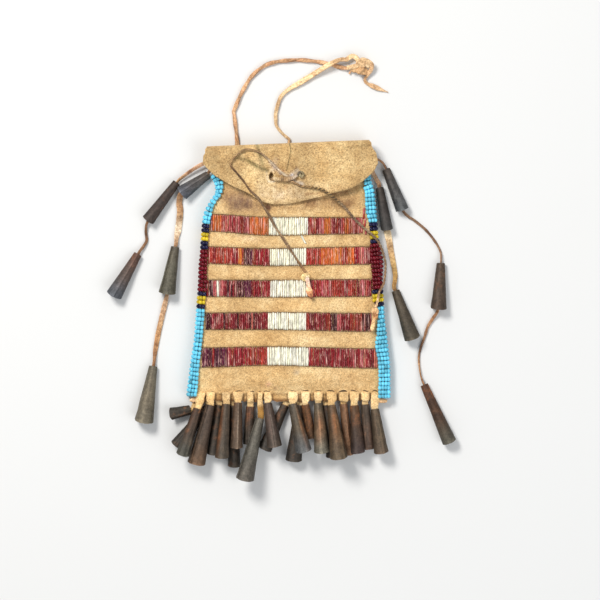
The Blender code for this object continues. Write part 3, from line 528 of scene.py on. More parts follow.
def strip(route, width, thick, seed, twist=0.0, roll=0.0, shape=None, sides=12, step=0.7, wobble=0.06,
          tone=None, square=0.75):
    """A strip of hide along a route. Twist is in turns per 10 mm, shape gives scales of width and thickness."""
    line = smooth_path(route, step)
    up = Vector((0, 0, 1))
    points, colours = [], []
    travelled = 0.0
    total = path_length(line)
    for i, place in enumerate(line):
        ahead = (line[min(i + 1, len(line) - 1)] - line[max(i - 1, 0)]).normalized()
        up = (up - ahead * up.dot(ahead)).normalized()
        level = Vector((0, 0, 1)) - ahead * ahead.z
        if level.length > 0.25:
            up = (up * 0.6 + level.normalized() * 0.4).normalized()
        side = ahead.cross(up)
        if i:
            travelled += (place - line[i - 1]).length
        share = travelled / total
        w, h = shape(share) if shape else (1.0, 1.0)
        turn = roll + 2 * math.pi * twist * travelled / 10
        swell = 1 + wobble * 2 * noise.noise(Vector((travelled / 2.2, seed * 7, 0)))
        for k in range(sides):
            a = 2 * math.pi * k / sides
            ca, sa = math.cos(a), math.sin(a)
            x = math.copysign(abs(ca) ** square, ca) * width / 2 * w * swell
            y = math.copysign(abs(sa) ** square, sa) * thick / 2 * h * swell
            p = place + side * (x * math.cos(turn) - y * math.sin(turn))
            p += up * (x * math.sin(turn) + y * math.cos(turn))
            p.z = max(p.z, STRIP_FLOOR)
            points.append(p)
            shade = 1.0 + 0.25 * noise.noise(Vector((travelled / 3.0, a, seed * 3)))
            colours.append(tone(share, a, shade) if tone else (shade,) * 3)
    walls, ends = tube_faces(0, len(line), sides)
    return points, ends + walls, colours, line


def joined(name, strips, material, body, replaces):
    """One piece of several strips."""
    points, faces, colours = [], [], []
    for part in strips:
        start = len(points)
        points += part[0]
        faces += [tuple(i + start for i in face) for face in part[1]]
        colours += part[2]
    obj = mesh_object(name, points, faces, material, body, replaces)
    paint(obj, colours)
    return obj


def ribbon(name, route, width, thick, material, body, replaces=(), slot="smoked_hide", **words):
    """A piece of one strip, and the line it follows."""
    made = strip(route, width, thick, **words)
    return joined(name, [made], material, body, replaces), made[3]


def declare_cord(obj, route, line):
    """Works out a strip's first point, length and points in metres, and keeps none of them."""
    tuple(c * MM for c in route[0])
    path_length(line) * MM
    [tuple(p * MM) for p in line]


# A rolled cone's mesh round and along it, its sheet, how far the lap stands out and how far the sheet wraps round
CONE_SIDES, CONE_ROWS = 40, 16
SHEET, LAP, WRAP = 0.32, 0.16, math.radians(396)
# How far the cones' wide ends are cut back below, beyond their own tilt
SLANT_CUT = math.radians(14)
# The metal is painted this share as bright as it was picked, and a little warmer
TIN_DIM, TIN_WARMTH = 0.76, (1.04, 0.98, 0.90)


def tin_tone(stops, patches):
    """The metal's colour by its share of the length and its side."""
    colours = [tuple(c * TIN_DIM * k for c, k in zip(lin(*stop), TIN_WARMTH)) for stop in stops]
    last = len(colours) - 1

    def tone(t, side, up):
        i = min(int(t * last), last - 1)
        f = ease(t * last - i)
        found = tuple(a + (b - a) * f for a, b in zip(colours[i], colours[i + 1]))
        for at, aside, long, wide, colour, strength in patches:
            edge = 0.12 * noise.noise(Vector((t * 9, side * 3, at * 7)))
            near = strength * math.exp(-((t - at) / long + edge) ** 2 - ((side - aside) / wide + edge) ** 2)
            near *= 1.0 if up > -0.2 else 0.3
            found = tuple(a + (b * TIN_DIM - a) * near for a, b in zip(found, lin(*colour)))
        return found

    return tone


def rolled_cone(name, mouth, heading, tilt, length, narrow, wide, body, node, look, seed):
    """A cone rolled from tinplate, open at both ends, with a lapped seam and small dents. Its look is the metal
    at the mouth, halfway and at the wide end, rust at both ends, the seam's angle, and patches."""
    *stops, rust_start, rust_end, roll, patches = look
    tone = tin_tone(stops, patches)
    rng = random.Random(seed)
    place = Matrix.Translation(Vector(mouth)) @ Matrix.Rotation(heading, 4, "Z") @ Matrix.Rotation(-tilt, 4, "Y")
    place = place @ Matrix.Rotation(roll, 4, "X")
    skew = rng.uniform(-0.25, 0.25)
    dents = [(rng.uniform(0.15, 0.95), rng.uniform(0, 2 * math.pi), rng.uniform(0.1, 0.28)) for _ in range(4)]
    oval = rng.uniform(0.0, 0.035)
    layers, colours, rusts, grain = ([], []), [], [], []
    for inside, layer in enumerate(layers):
        for i in range(CONE_ROWS + 1):
            t = i / CONE_ROWS
            radius = narrow + (wide - narrow) * (t ** 1.05)
            rust = (rust_start + (rust_end - rust_start) * ease(t * 1.1)) * (0.8 if inside else 1.0)
            layer.append([])
            for k in range(CONE_SIDES + 1):
                a = WRAP * k / CONE_SIDES
                side, up = math.cos(a + roll), math.sin(a + roll)
                r = radius + 0.2 - (SHEET + LAP) * 0.8 * a / (2 * math.pi) - SHEET * inside
                r *= 1 + oval * math.cos(2 * (a + roll))
                for at, angle, depth in dents:
                    near = math.exp(-((t - at) / 0.1) ** 2 - (math.sin((a - angle) / 2) / 0.2) ** 2)
                    r -= depth * near * (0.4 + 0.6 * t)
                x = t * length + r * up * math.tan(tilt + SLANT_CUT) * t ** 4
                if i == CONE_ROWS:
                    x -= 0.18 + skew * math.cos(a) + 0.12 * noise.noise(Vector((a * 2, seed, 0)))
                p = place @ Vector((x, r * math.cos(a), r * math.sin(a)))
                p.z = max(p.z, 0.02)
                layer[i].append(p)
                grain.append((x * 0.1 + seed * 3.7, 2.0 * math.cos(a), 2.0 * math.sin(a)))
                # Painted light and shade: a highlight on the lap's outer edge, shade where the sheet's end lies
                # under the lap, the upper side lighter than the lower, a lighter wide rim, and darker inside
                lit = 1.0 + (0.45 if k < 2 and not inside else 0.0) - (0.4 if k > CONE_SIDES - 2 else 0.0)
                lit *= (0.74 + 0.26 * max(0.0, up)) * (1.35 if i == CONE_ROWS else 1.0)
                colours.append(tuple(c * lit * (0.35 if inside else 1.0) for c in tone(t, side, up)))
                rusts.append((rust,) * 3)
    points, faces = lattice(*layers)
    turned = [(a, d, c, b) for a, b, c, d in faces]
    obj = mesh_object(name, points, turned, TIN, body, (node,))
    paint(obj, colours)
    paint(obj, rusts, "rust")
    paint(obj, grain, "grain")
    return obj


# Fringe places, as in the solids: how far it is inset at both ends, and how long the hide above the tabs is
FRINGE_INSET, FRINGE_DEEP = 2.7, 4.0
FRINGE_LEFT, FRINGE_RIGHT = seam_x(0.0, -1) + FRINGE_INSET, seam_x(0.0, 1) - FRINGE_INSET
HEM_EDGE = HEM_Y - GAP - FRINGE_DEEP
# Each front cone's share along the hem, tab length, mouth height, length, mouth and wide end
FRONT_CONES = (
    (0.011, 1.02, 3.30, 1.015, 1.05, 0.85), (0.081, 0.50, 3.30, 1.245, 1.05, 1.10),
    (0.165, 0.44, 2.50, 1.120, 1.05, 0.90), (0.229, 0.25, 2.90, 0.945, 1.05, 0.78),
    (0.295, 0.70, 1.80, 0.809, 1.00, 0.75), (0.348, 2.21, 3.30, 1.300, 1.00, 1.10),
    (0.390, 0.31, 2.90, 0.938, 1.05, 0.90), (0.525, 0.44, 3.10, 1.016, 1.05, 1.02),
    (0.593, 0.44, 2.60, 0.745, 0.95, 0.65), (0.662, 0.31, 2.40, 1.027, 1.05, 0.97),
    (0.734, 0.60, 2.90, 1.116, 1.05, 1.10), (0.799, 0.38, 1.80, 1.075, 0.95, 0.70),
    (0.856, 0.60, 2.50, 0.992, 1.05, 0.85), (0.916, 0.44, 1.80, 0.941, 1.05, 0.80),
    (0.968, 1.02, 2.70, 0.927, 1.05, 0.90),
)


def fringe_x(share):
    return FRINGE_LEFT + (FRINGE_RIGHT - FRINGE_LEFT) * share


# How wide each front tab is at its slit
TAB_WIDTHS = (5.0, 4.4, 4.0, 4.6, 2.9, 2.6, 3.9, 4.8, 4.3, 4.2, 5.0, 4.7, 4.7, 4.4, 4.2)
TABS = [(fringe_x(values[0]), wide) for values, wide in zip(FRONT_CONES, TAB_WIDTHS)]


def tab_nearness(x):
    """1 at a front tab, 0 between two."""
    return max(math.exp(-((x - at) * 2 / wide / 0.95) ** 6) for at, wide in TABS)


# Marks painted on a hide

def towards(colour, base):
    """What turns a base colour into another one when it multiplies it."""
    return tuple(a / b for a, b in zip(lin(*colour), lin(*base)))


def segment_distance(x, y, start, end):
    """Millimetres to the line between two places on the picture."""
    ax, ay = px(*start)
    bx, by = px(*end)
    size = (bx - ax) ** 2 + (by - ay) ** 2
    t = ((x - ax) * (bx - ax) + (y - ay) * (by - ay)) / size if size else 0.0
    t = min(1.0, max(0.0, t))
    return math.hypot(x - ax - (bx - ax) * t, y - ay - (by - ay) * t)


def marked(x, y, tint, marks, base):
    """A tint with marks laid over it: worn and soiled places, and painted shadow."""
    ragged = 1 + 0.45 * cloud(x, y, 5, 2.2) + 0.45 * cloud(x * 2.2, y * 0.8, 2.0, 6.4)
    for start, end, width, colour, strength in marks:
        d = segment_distance(x, y, start, end) / width
        if d < 2.4:
            near = min(1.0, strength * ragged * math.exp(-d * d))
            tint = tuple(c * (1 + (m - 1) * near) for c, m in zip(tint, towards(colour, base)))
    return tint


# Front hide

FRONT_COLUMNS, FRONT_ROWS, FRONT_TOP, FRONT_SHEET = 200, 220, 0.905, 1.0
# Rows of the front below the hem's line, in millimetres
HEM_DROPS = (4.0, 3.6, 3.2, 2.7, 2.2, 1.7, 1.2, 0.8, 0.4)
# Two places by the hem, in metres, between which the front would bend with the fringe; nothing here bends it
HEM_BEND = ((0, -0.0604, 0.0045), (0, -0.0619, 0.0045))
# Where the tabs leave the hem, and where the deep shadow between them starts
TABS_Y, SHADOW_Y = -61.1, -63.6
# Soiled and worn places on the front, and painted shadow below the flap's lower edge: both ends on the picture,
# half width in millimetres, colour and strength
SOIL_AND_SHADOW = (
    # The first seven marks lie below the flap's lower edge: painted shadow, mixed with soiling in the first two
    ((229, 198), (249, 201), 4.6, (140, 108, 82), 0.85), ((232, 206), (256, 208), 2.6, (148, 116, 88), 0.6),
    ((268, 207), (269, 208), 1.7, (108, 74, 48), 0.95), ((258, 206), (301, 209), 1.3, (160, 122, 80), 0.45),
    ((306, 203), (346, 204), 3.2, (140, 104, 68), 0.78), ((352, 200), (364, 204), 4.0, (178, 140, 96), 0.35),
    ((333, 194), (349, 192), 1.3, (138, 96, 60), 0.55),
    ((296, 372), (297, 372), 1.3, (158, 146, 130), 0.45), ((268, 384), (269, 384), 1.2, (206, 150, 128), 0.5),
    ((275, 388), (276, 388), 0.9, (150, 104, 70), 0.5), ((330, 374), (360, 382), 6.0, (202, 160, 108), 0.3),
    ((212, 366), (222, 384), 5.0, (196, 158, 106), 0.3), ((240, 236), (258, 241), 2.0, (240, 212, 170), 0.35),
    ((225, 272), (262, 274), 2.4, (236, 206, 156), 0.3), ((314, 240), (352, 243), 2.4, (238, 210, 160), 0.3),
    ((300, 340), (360, 339), 2.6, (238, 208, 158), 0.3),
)

# Band edges on the picture: top and bottom at the left end, at x 269 and at the right end, then both ends' x
BANDS = (
    ((214.6, 231.5), (217.8, 235.6), (218.1, 234.0), 210.8, 362.0),
    ((247.1, 263.7), (249.0, 265.9), (247.1, 264.3), 208.3, 369.5),
    ((280.2, 296.5), (280.5, 297.1), (279.6, 296.5), 206.5, 370.4),
    ((313.0, 329.3), (312.4, 329.3), (313.4, 331.2), 205.6, 371.0),
    ((347.8, 366.9), (346.6, 364.8), (348.7, 367.8), 202.0, 376.6),
)
BAND_MIDDLE = 269


def band_y(index, x):
    """Lower and upper Y of a band at an X, in millimetres."""
    left, middle, right, x0, x1 = BANDS[index]
    at = picture_x(x)
    if at < BAND_MIDDLE:
        start, end, t = left, middle, (at - x0) / (BAND_MIDDLE - x0)
    else:
        start, end, t = middle, right, (at - BAND_MIDDLE) / (x1 - BAND_MIDDLE)
    top, bottom = (a + (b - a) * ease(t) for a, b in zip(start, end))
    return px(0, bottom)[1], px(0, top)[1]


def band_ends(index):
    """Both ends' X of a band, in millimetres."""
    return [px(x, 0)[0] for x in BANDS[index][3:]]


def front_point(u, v):
    """Outer face of the front, with the hide's own waves."""
    x, y = body_point(u, v)
    z = front_height(u, v)
    loose = (1 - u * u) * ease(v / 0.06)
    wave = 0.30 * cloud(x, y * 0.6, 17, 3.1) + 0.16 * cloud(x, y, 6, 8.2)
    return Vector((x, y, z - 0.25 + wave * loose))


def front_z(x, y):
    """The front's height under a place."""
    v = max(0.0, v_at(y))
    return front_point(u_at(x, v), v).z


def hem_row(columns, drop):
    """A row of the front below the hem's line, sunk between the tabs, and the hide's thickness there."""
    row, depths = [], []
    for u in columns:
        x, y = body_point(u * 0.985, 0.0)
        x = min(max(x, FRINGE_LEFT - 0.3), FRINGE_RIGHT + 0.3)
        lobe = 1 - tab_nearness(x)
        ragged = 0.7 * cloud(x, 0, 2.4, 5.5) - 0.5 * lobe + 0.5 * (1 - lobe)
        z = 4.65 - 0.05 * drop + 0.12 * cloud(x, drop, 5, 2.0) - 0.95 * lobe * ease((drop - 0.2) / 1.4)
        row.append(Vector((x, y - drop + ragged * ease((drop - 2.4) / 1.6), z)))
        depths.append(FRONT_SHEET - 0.5 * lobe * ease(drop / 1.5))
    return row, depths


def painted_hem_shade(tint, x, y):
    """Painted shade: darkens the hide between the tabs, and paints a shadow line along both edges of each."""
    lobe = (1 - tab_nearness(x)) * ease((TABS_Y - y) / 1.2)
    low = ease((SHADOW_Y - y) / 1.4)
    between = (0.86 - 0.5 * low, 0.8 - 0.55 * low, 0.72 - 0.56 * low)
    beside = min(abs(abs(x - at) - wide / 2 - 0.2) for at, wide in TABS)
    edge = 1 - 0.5 * math.exp(-(beside / 0.4) ** 2) * ease((TABS_Y - y) / 1.0)
    return tuple(c * (1 + (m - 1) * lobe) * edge for c, m in zip(tint, between))


def front_tone(x, y):
    shade = 1.0 + 0.10 * cloud(x, y, 22, 1.3) + 0.06 * cloud(x, y, 5, 4.4)
    warm = 0.02 + 0.04 * cloud(x, y, 14, 9.1)
    edge = 1.0
    for index in range(len(BANDS)):
        for line in band_y(index, x):
            edge *= 1 - 0.36 * math.exp(-((y - line) / 1.0) ** 2)
    tint = (shade * edge * (1 + warm), shade * edge, shade * edge * (1 - warm * 1.5))
    tint = marked(x, y, tint, SOIL_AND_SHADOW, HIDE_BASE)
    return painted_hem_shade(tint, x, y) if y < TABS_Y else tint


def make_front():
    columns = spread(FRONT_COLUMNS)
    outer, inner = [], []
    for drop in HEM_DROPS:
        row, depths = hem_row(columns, drop)
        outer.append(row)
        inner.append([p - Vector((0, 0, depth)) for p, depth in zip(row, depths)])
    for k in range(FRONT_ROWS + 1):
        row = [front_point(u, FRONT_TOP * k / FRONT_ROWS) for u in columns]
        outer.append(row)
        inner.append([p - Vector((0, 0, FRONT_SHEET)) for p in row])
    points, faces = lattice(outer, inner)
    obj = mesh_object("front_hide", points, faces, HIDE_LOOK, None, ("front_panel",))
    paint(obj, [front_tone(p[0], p[1]) for row in outer for p in row] * 2)
    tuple(HEM_BEND[0])
    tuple(HEM_BEND[1])
    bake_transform(obj)


# Back hide and the fold

BACK_COLUMNS, BACK_ROWS, BACK_TOP = 70, 95, 0.945
# The back hide ends and the flap's begins where the fold reaches this height, and the flap's own rows begin
# where the fold's upper side reaches this Y. The hide is this thick round the fold
FOLD_MIDDLE_Z, FOLD_END_Y, FOLD_SHEET = 7.0, -2.0, 1.1
# The hide round the fold, in the fold's own Y and Z, from the back to the flap
FOLD = (
    (0, -8.0, 2.8), (0, -5.0, 2.8), (0, -2.4, 2.85), (0, -0.6, 3.3), (0, 0.6, 4.3), (0, 1.25, 5.6),
    (0, 1.45, 7.0), (0, 1.3, 8.4), (0, 0.7, 9.8), (0, -0.4, 10.8), (0, -2.2, 11.15), (0, -5.0, 11.2),
)
FOLD_LINE = smooth_path(FOLD, 0.45)
FOLD_MIDDLE = next(i for i, p in enumerate(FOLD_LINE) if p.z >= FOLD_MIDDLE_Z)
FOLD_END = next(i for i, p in enumerate(FOLD_LINE) if p.z > FOLD_MIDDLE_Z and p.y <= FOLD_END_Y)


def fold_half_width(y):
    """The fold's corners are rounded where it turns over."""
    return 41.35 - 1.0 * ease((y + 0.4) / 1.8)


def fold_rows(indices, columns, ripple):
    """Outer and inner rows of the hide round the fold, at some points of its line."""
    outer, inner = [], []
    for i in indices:
        middle = FOLD_LINE[i]
        ahead = FOLD_LINE[i + 1] - FOLD_LINE[i - 1]
        normal = Vector((0, -ahead.z, ahead.y)).normalized()
        half = fold_half_width(middle.y)
        places = [Vector((*fold_place(u * half, middle.y), middle.z)) for u in columns]
        lifts = [ripple * max(0.0, cloud(u * half, middle.z, 9, 3.3)) for u in columns]
        outer.append([p + normal * lift for p, lift in zip(places, lifts)])
        inner.append([p + normal * FOLD_SHEET for p in places])
    return outer, inner


def back_tone(p):
    shade = 1.0 + 0.10 * cloud(p[0], p[1], 25, 7.7) + 0.05 * cloud(p[0], p[1], 6, 2.4)
    return (shade, shade, shade)


def make_back():
    columns = spread(BACK_COLUMNS)
    outer = []
    for k in range(BACK_ROWS + 1):
        v = k / BACK_ROWS * BACK_TOP
        row = []
        for u in columns:
            x, y = body_point(u, v)
            flat = 1 - ease((abs(u) - 0.45) / 0.3)
            wave = 0.15 * cloud(x, y, 12, 6.6) * (1 - flat)
            row.append(Vector((x, y, max(0.0, under_height(u, v) + wave))))
        outer.append(row)
    inner = [[p + Vector((0, 0, HIDE)) for p in row] for row in outer]
    fold_outer, fold_inner = fold_rows(range(1, FOLD_MIDDLE + 1), columns, -0.12)
    points, faces = lattice(inner + fold_inner, outer + fold_outer)
    obj = mesh_object("back_hide", points, faces, HIDE_LOOK, None, ("back_panel",))
    paint(obj, [back_tone(p) for p in points])
    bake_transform(obj)


# Flap

# How far the flap hangs and its half width, and where its own rows start below the fold, in millimetres
FLAP_DEEP, FLAP_HALF, FLAP_START = 28.6, 41.5, 2.2
FLAP_COLUMNS, FLAP_ROWS, FLAP_SHEET = 240, 110, 1.0
# The flap's lower edge, as shares of its half width and of how far it hangs, and its left and right edge with
# the two shares the other way round
FLAP_EDGE = (
    (-1.030, 0.240), (-1.015, 0.275), (-0.977, 0.341), (-0.913, 0.442), (-0.781, 0.573), (-0.709, 0.640),
    (-0.591, 0.727), (-0.488, 0.809), (-0.401, 0.893), (-0.329, 0.955), (-0.240, 0.992), (-0.135, 1.008),
    (-0.030, 1.004), (0.136, 0.971), (0.241, 0.938), (0.391, 0.902), (0.482, 0.867), (0.543, 0.846),
    (0.633, 0.822), (0.754, 0.771), (0.831, 0.715), (0.893, 0.648), (0.970, 0.560), (1.020, 0.485),
    (1.066, 0.370),
)
FLAP_LEFT = ((0.0, 0.993), (0.077, 1.0), (0.120, 1.020), (0.240, 1.030))
FLAP_RIGHT = ((0.0, 0.993), (0.077, 1.002), (0.200, 1.050), (0.370, 1.066))
# The two lacing holes: their middles and half sizes, how many corners they have and the heights they're cut
# between
HOLES = ((-9.3, 46.4, 1.1, 2.0), (5.1, 47.4, 1.1, 1.1))
HOLE_SIDES, HOLE_SPAN = 28, (9.0, 13.0)
# Creases pressed into the flap: start and end on the picture, width and depth in millimetres, and how dark they
# are painted, as shade in their hollows
CREASES = (
    ((257, 145), (261, 158), 0.9, 0.4, 0.55), ((261, 158), (263, 166), 0.9, 0.3, 0.42),
    ((289.5, 143.5), (291, 152), 0.26, 0.3, 0.75), ((291, 152), (289.5, 160), 0.26, 0.3, 0.7),
    ((289.5, 160), (287, 171), 0.3, 0.3, 0.6), ((237, 159), (248.6, 161.6), 0.85, 0.3, 0.45),
    ((248.6, 161.6), (257, 167.3), 1.05, 0.4, 0.66), ((257, 167.3), (267, 170.9), 1.0, 0.3, 0.55),
    ((215, 158), (232, 176), 1.2, 0.1, 0.15), ((345, 149), (369, 146), 0.8, 0.14, 0.2),
)
# Worn and soiled places on the flap, as on the front, and thin lines of painted shade by its lower rim
FLAP_MARKS = (
    ((214, 152), (230, 170), 6.0, (190, 150, 98), 0.22), ((266, 193), (296, 194), 4.4, (238, 210, 166), 0.6),
    ((300, 186), (340, 190), 3.0, (226, 194, 142), 0.4),
    ((266.8, 173), (267.3, 180), 0.6, (236, 218, 186), 0.35),
    ((268.5, 182.4), (274, 182.4), 0.5, (238, 222, 190), 0.35),
    ((271, 163.5), (281, 174), 0.9, (214, 196, 178), 0.7),
    ((281, 174), (292, 176), 0.9, (236, 220, 192), 0.45), ((291, 177), (297, 171.5), 1.1, (244, 232, 212), 0.65),
    ((292, 181), (302, 184.5), 0.9, (240, 226, 204), 0.6), ((273, 171), (276, 160), 1.3, (208, 182, 156), 0.45),
    ((262, 170), (268, 172), 0.8, (150, 128, 84), 0.5), ((277, 181), (294, 182), 0.7, (170, 132, 90), 0.5),
    ((241, 156), (246, 160), 2.0, (190, 160, 110), 0.3), ((262, 196), (320, 198), 1.6, (224, 190, 140), 0.3),
    ((306, 195), (326, 193.5), 0.7, (176, 130, 82), 0.6), ((272, 203), (296, 203), 0.8, (178, 140, 92), 0.35),
    ((283, 171.5), (284, 172), 0.5, (176, 112, 66), 0.6),
    ((285.5, 187), (286.5, 189), 0.6, (206, 158, 108), 0.5),
)


def flap_top(u, w):
    """The flap's height at shares of its half width and of how far it hangs."""
    return 11.2 - (0.4 * w * w + 1.6 * min(1.0, abs(u)) ** 3 * ease(w / 0.4))


def crease(x, y, column):
    """Depth, or painted shade, of the creases at a place."""
    wander = 0.18 * cloud(x, y, 4, 12.0)
    found = []
    for values in CREASES:
        start, end, width = values[:3]
        away = (segment_distance(x, y, start, end) + wander * width) / width
        found.append(values[column] * math.exp(-away ** 2))
    return max(found)


def flap_tone(x, y):
    along, below = from_fold(x, y)
    u, depth = along / FLAP_HALF, below / FLAP_DEEP
    rim = (smooth_value(FLAP_EDGE, u, 1) - depth) * FLAP_DEEP
    shade = 1.0 + 0.10 * cloud(x, y, 16, 2.2) + 0.07 * cloud(x, y, 4.5, 7.1)
    shade *= 1 - 0.22 * ease(1.0 + depth * FLAP_DEEP / 1.8) * (0.7 + cloud(x, 0, 6, 3.3))
    # Painted shade along the flap's lower rim, deepest on its right part
    shade *= 1 - (0.1 + 0.28 * ease((u - 0.4) / 0.1)) * (1 - ease(rim / 1.1))
    # Painted shade in the creases
    dark = crease(x, y, 4)
    tint = (shade * (1 - dark), shade * (1 - 0.97 * dark), shade * (1 - 1.08 * dark))
    tint = marked(x, y, tint, FLAP_MARKS, FLAP_BASE)
    for cx, cy, rx, ry in HOLES:
        d = math.hypot((x - cx) / rx, (y - cy) / ry)
        halo = 0.14 * math.exp(-((d - 1.5) / 0.4) ** 2)
        tint = tuple(t * (1 + halo * k) for t, k in zip(tint, (1.0, 1.6, 2.6)))
    return tint


def flap_row(columns, t):
    """A row of the flap's outer face, at a share of the way from its start to its edge."""
    row = []
    first = FLAP_START / FLAP_DEEP
    for a in columns:
        corner, side = (-FLAP_EDGE[0][0], FLAP_LEFT) if a < 0 else (FLAP_EDGE[-1][0], FLAP_RIGHT)
        depth = first + (smooth_value(FLAP_EDGE, a * corner, 1) - first) * t
        u = a * smooth_value(side, min(depth, side[-1][0]), 1)
        x, y = fold_place(u * FLAP_HALF, -depth * FLAP_DEEP)
        ragged = 0.22 * cloud(x, y, 2.4, 3.0) * ease((t - 0.85) / 0.15)
        z = flap_top(u, depth) - crease(x, y, 3)
        z += 0.25 * cloud(x, y, 13, 4.2) * ease(t / 0.2) + 0.08 * cloud(x, y, 3.5, 1.2)
        row.append(Vector((x, y + ragged, z - 0.1)))
    return row


def make_flap():
    columns = spread(FLAP_COLUMNS)
    outer, inner = fold_rows(range(FOLD_MIDDLE, FOLD_END), columns, 0.1)
    for i in range(FLAP_ROWS + 1):
        t = i / FLAP_ROWS
        row = flap_row(columns, t)
        outer.append(row)
        inner.append([p - Vector((0, 0, FLAP_SHEET - 0.35 * ease((t - 0.9) / 0.1))) for p in row])
    points, faces = lattice(outer, inner)
    faces = [face[::-1] for face in faces]
    obj = mesh_object("flap_hide", points, faces, FLAP_LOOK, None, ("flap", "flap_fold"))
    cut_holes(obj)
    paint(obj, [flap_tone(p.co.x / MM, p.co.y / MM) for p in obj.data.vertices])
    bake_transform(obj)


def cut_holes(obj):
    """Cuts the two lacing holes, ragged ovals, through the flap."""
    for index, (cx, cy, rx, ry) in enumerate(HOLES):
        points = []
        for z in HOLE_SPAN:
            for k in range(HOLE_SIDES):
                a = 2 * math.pi * k / HOLE_SIDES
                r = 1 + 0.09 * noise.noise(Vector((math.cos(a) * 2, math.sin(a) * 2, index * 5)))
                x, y = cx + rx * r * math.cos(a), cy + ry * r * math.sin(a)
                points.append(Vector((x * MM, y * MM, z * MM)))
        walls, ends = tube_faces(0, 2, HOLE_SIDES)
        mesh = bpy.data.meshes.new("cutter")
        mesh.from_pydata(points, [], ends + walls)
        cutter = add_object("cutter", mesh)
        modifier = obj.modifiers.new("hole", "BOOLEAN")
        modifier.operation = "DIFFERENCE"
        modifier.object = cutter
        bpy.context.view_layer.update()
        ready = obj.evaluated_get(bpy.context.evaluated_depsgraph_get())
        made = bpy.data.meshes.new_from_object(ready)
        obj.modifiers.remove(modifier)
        obj.data = made
        bpy.data.objects.remove(cutter, do_unlink=True)


make_front()
make_back()
make_flap()


# Bead edgings

# A bead's rings as radius and place along its hole, and its sides
BEAD_RINGS = ((0.34, -0.70), (0.74, -0.74), (1.0, -0.46), (1.05, 0.0), (1.0, 0.46), (0.74, 0.74), (0.34, 0.70))
BEAD_SIDES = 10
# From one row to the next, from one bead to the next, how low a bead's middle may be, and a share of dull ones
BEAD_PITCH, BEAD_LONG, BEAD_LOWEST, DULL_SHARE = 2.10, 1.5, 1.06, 0.05
# The edgings' upper end as a share up the body, and the places along them that the rows are spaced by
BEAD_TOP, BEAD_PLACES = 0.89, 220
# The beads' colours, and where each ends down the picture
LIGHT_BLUE, NAVY, YELLOW, RED = lin(114, 214, 242), lin(22, 22, 62), lin(218, 190, 40), lin(110, 4, 24)
LEFT_COLOURS = ((227, LIGHT_BLUE), (232.5, NAVY), (241.5, YELLOW), (248.5, NAVY), (292, RED), (297.5, NAVY),
                (305, YELLOW), (310, NAVY), (999, LIGHT_BLUE))
RIGHT_COLOURS = ((223.5, LIGHT_BLUE), (229.5, NAVY), (237.5, YELLOW), (242.5, NAVY), (287.5, RED), (292.5, NAVY),
                 (301, YELLOW), (305.5, NAVY), (999, LIGHT_BLUE))
# Up the body: how wide the strip shows from above, and how far its outer side stands out beyond the usual
BEAD_WIDTHS = {
    -1: ((0.008, 5.4), (0.11, 4.8), (0.2935, 4.5), (0.367, 4.6), (0.5177, 4.6), (0.5585, 4.2), (0.62, 3.9),
         (0.7216, 4.15), (0.754, 3.4), (0.7827, 3.0), (0.8235, 4.0), (0.8724, 5.3)),
    1: ((0.01, 6.25), (0.11, 6.15), (0.192, 6.6), (0.25, 5.0), (0.33, 3.4), (0.38, 5.7), (0.4566, 5.55),
        (0.538, 6.65), (0.62, 4.7), (0.68, 4.4), (0.742, 5.5), (0.8235, 5.0), (0.857, 3.9)),
}
BEAD_OUTWARD = {
    -1: ((0.0, -0.3), (0.11, -0.3), (0.19, 0.0), (0.45, 0.2), (0.5177, 0.4), (0.5585, 0.1), (0.62, 0.0),
         (0.72, 0.5), (0.8, 0.2), (0.9, 0.0)),
    1: ((0.0, -0.1), (0.19, 0.1), (0.3, 0.0), (0.367, 0.3), (0.4566, 0.4), (0.53, 1.0), (0.6, 0.3),
        (0.68, 0.1), (0.9, 0.2)),
}
# Where each edging starts, as a share up the body from the hem's line
BEAD_START = {-1: -0.0175, 1: -0.0242}
THREAD_SIDES = 5


def bead_line(v, side):
    """The path of one row's beads, outward and up: over the seam from the front and round to the back."""
    outer = 1.25 + smooth_value(BEAD_OUTWARD[side], v, 1)
    inner = outer + 1.05 - smooth_value(BEAD_WIDTHS[side], v, 1)
    middle = min(0.0, inner * 0.45)
    under = inner * 0.7 - 0.4
    return smooth_path([
        (inner, 6.0 - 0.12 * inner, 0), (middle, 6.1 - 0.1 * middle, 0), (outer - 0.65, 5.95, 0), (outer, 5.2, 0),
        (outer, 1.9, 0), (outer - 0.95, BEAD_LOWEST, 0), (under, BEAD_LOWEST, 0),
    ], 0.3)


def across_to(ahead):
    """Two directions square to one."""
    upright = Vector((0, 0, 1)) if abs(ahead.z) < 0.8 else Vector((0, 1, 0))
    across = ahead.cross(upright).normalized()
    return across, across.cross(ahead)


def add_bead(points, faces, colours, place, along, colour, rng):
    across, up = across_to(along)
    size = rng.uniform(0.93, 1.03)
    fat = rng.uniform(0.94, 1.02)
    walls, ends = tube_faces(len(points), len(BEAD_RINGS), BEAD_SIDES)
    for r, t in BEAD_RINGS:
        for k in range(BEAD_SIDES):
            a = 2 * math.pi * k / BEAD_SIDES
            x, y = r * fat * math.cos(a), r * fat * math.sin(a)
            points.append(place + along * (t * size) + across * x + up * y)
            colours.append(colour)
    faces += walls + ends


def line_at(line, distance):
    """Place and direction at a distance along a line."""
    for a, b in zip(line, line[1:]):
        step = (b - a).length
        if distance <= step or b is line[-1]:
            return a + (b - a) * (distance / step), (b - a).normalized()
        distance -= step


def edging_line(side):
    """The side seam's own line, from below the hem to the edging's top."""
    line = []
    for k in range(BEAD_PLACES + 1):
        v = BEAD_START[side] + (BEAD_TOP - BEAD_START[side]) * k / BEAD_PLACES
        x, y = body_point(side, max(0.0, v))
        line.append(Vector((x, y + min(0.0, v) * LENGTH, 0)))
    return line


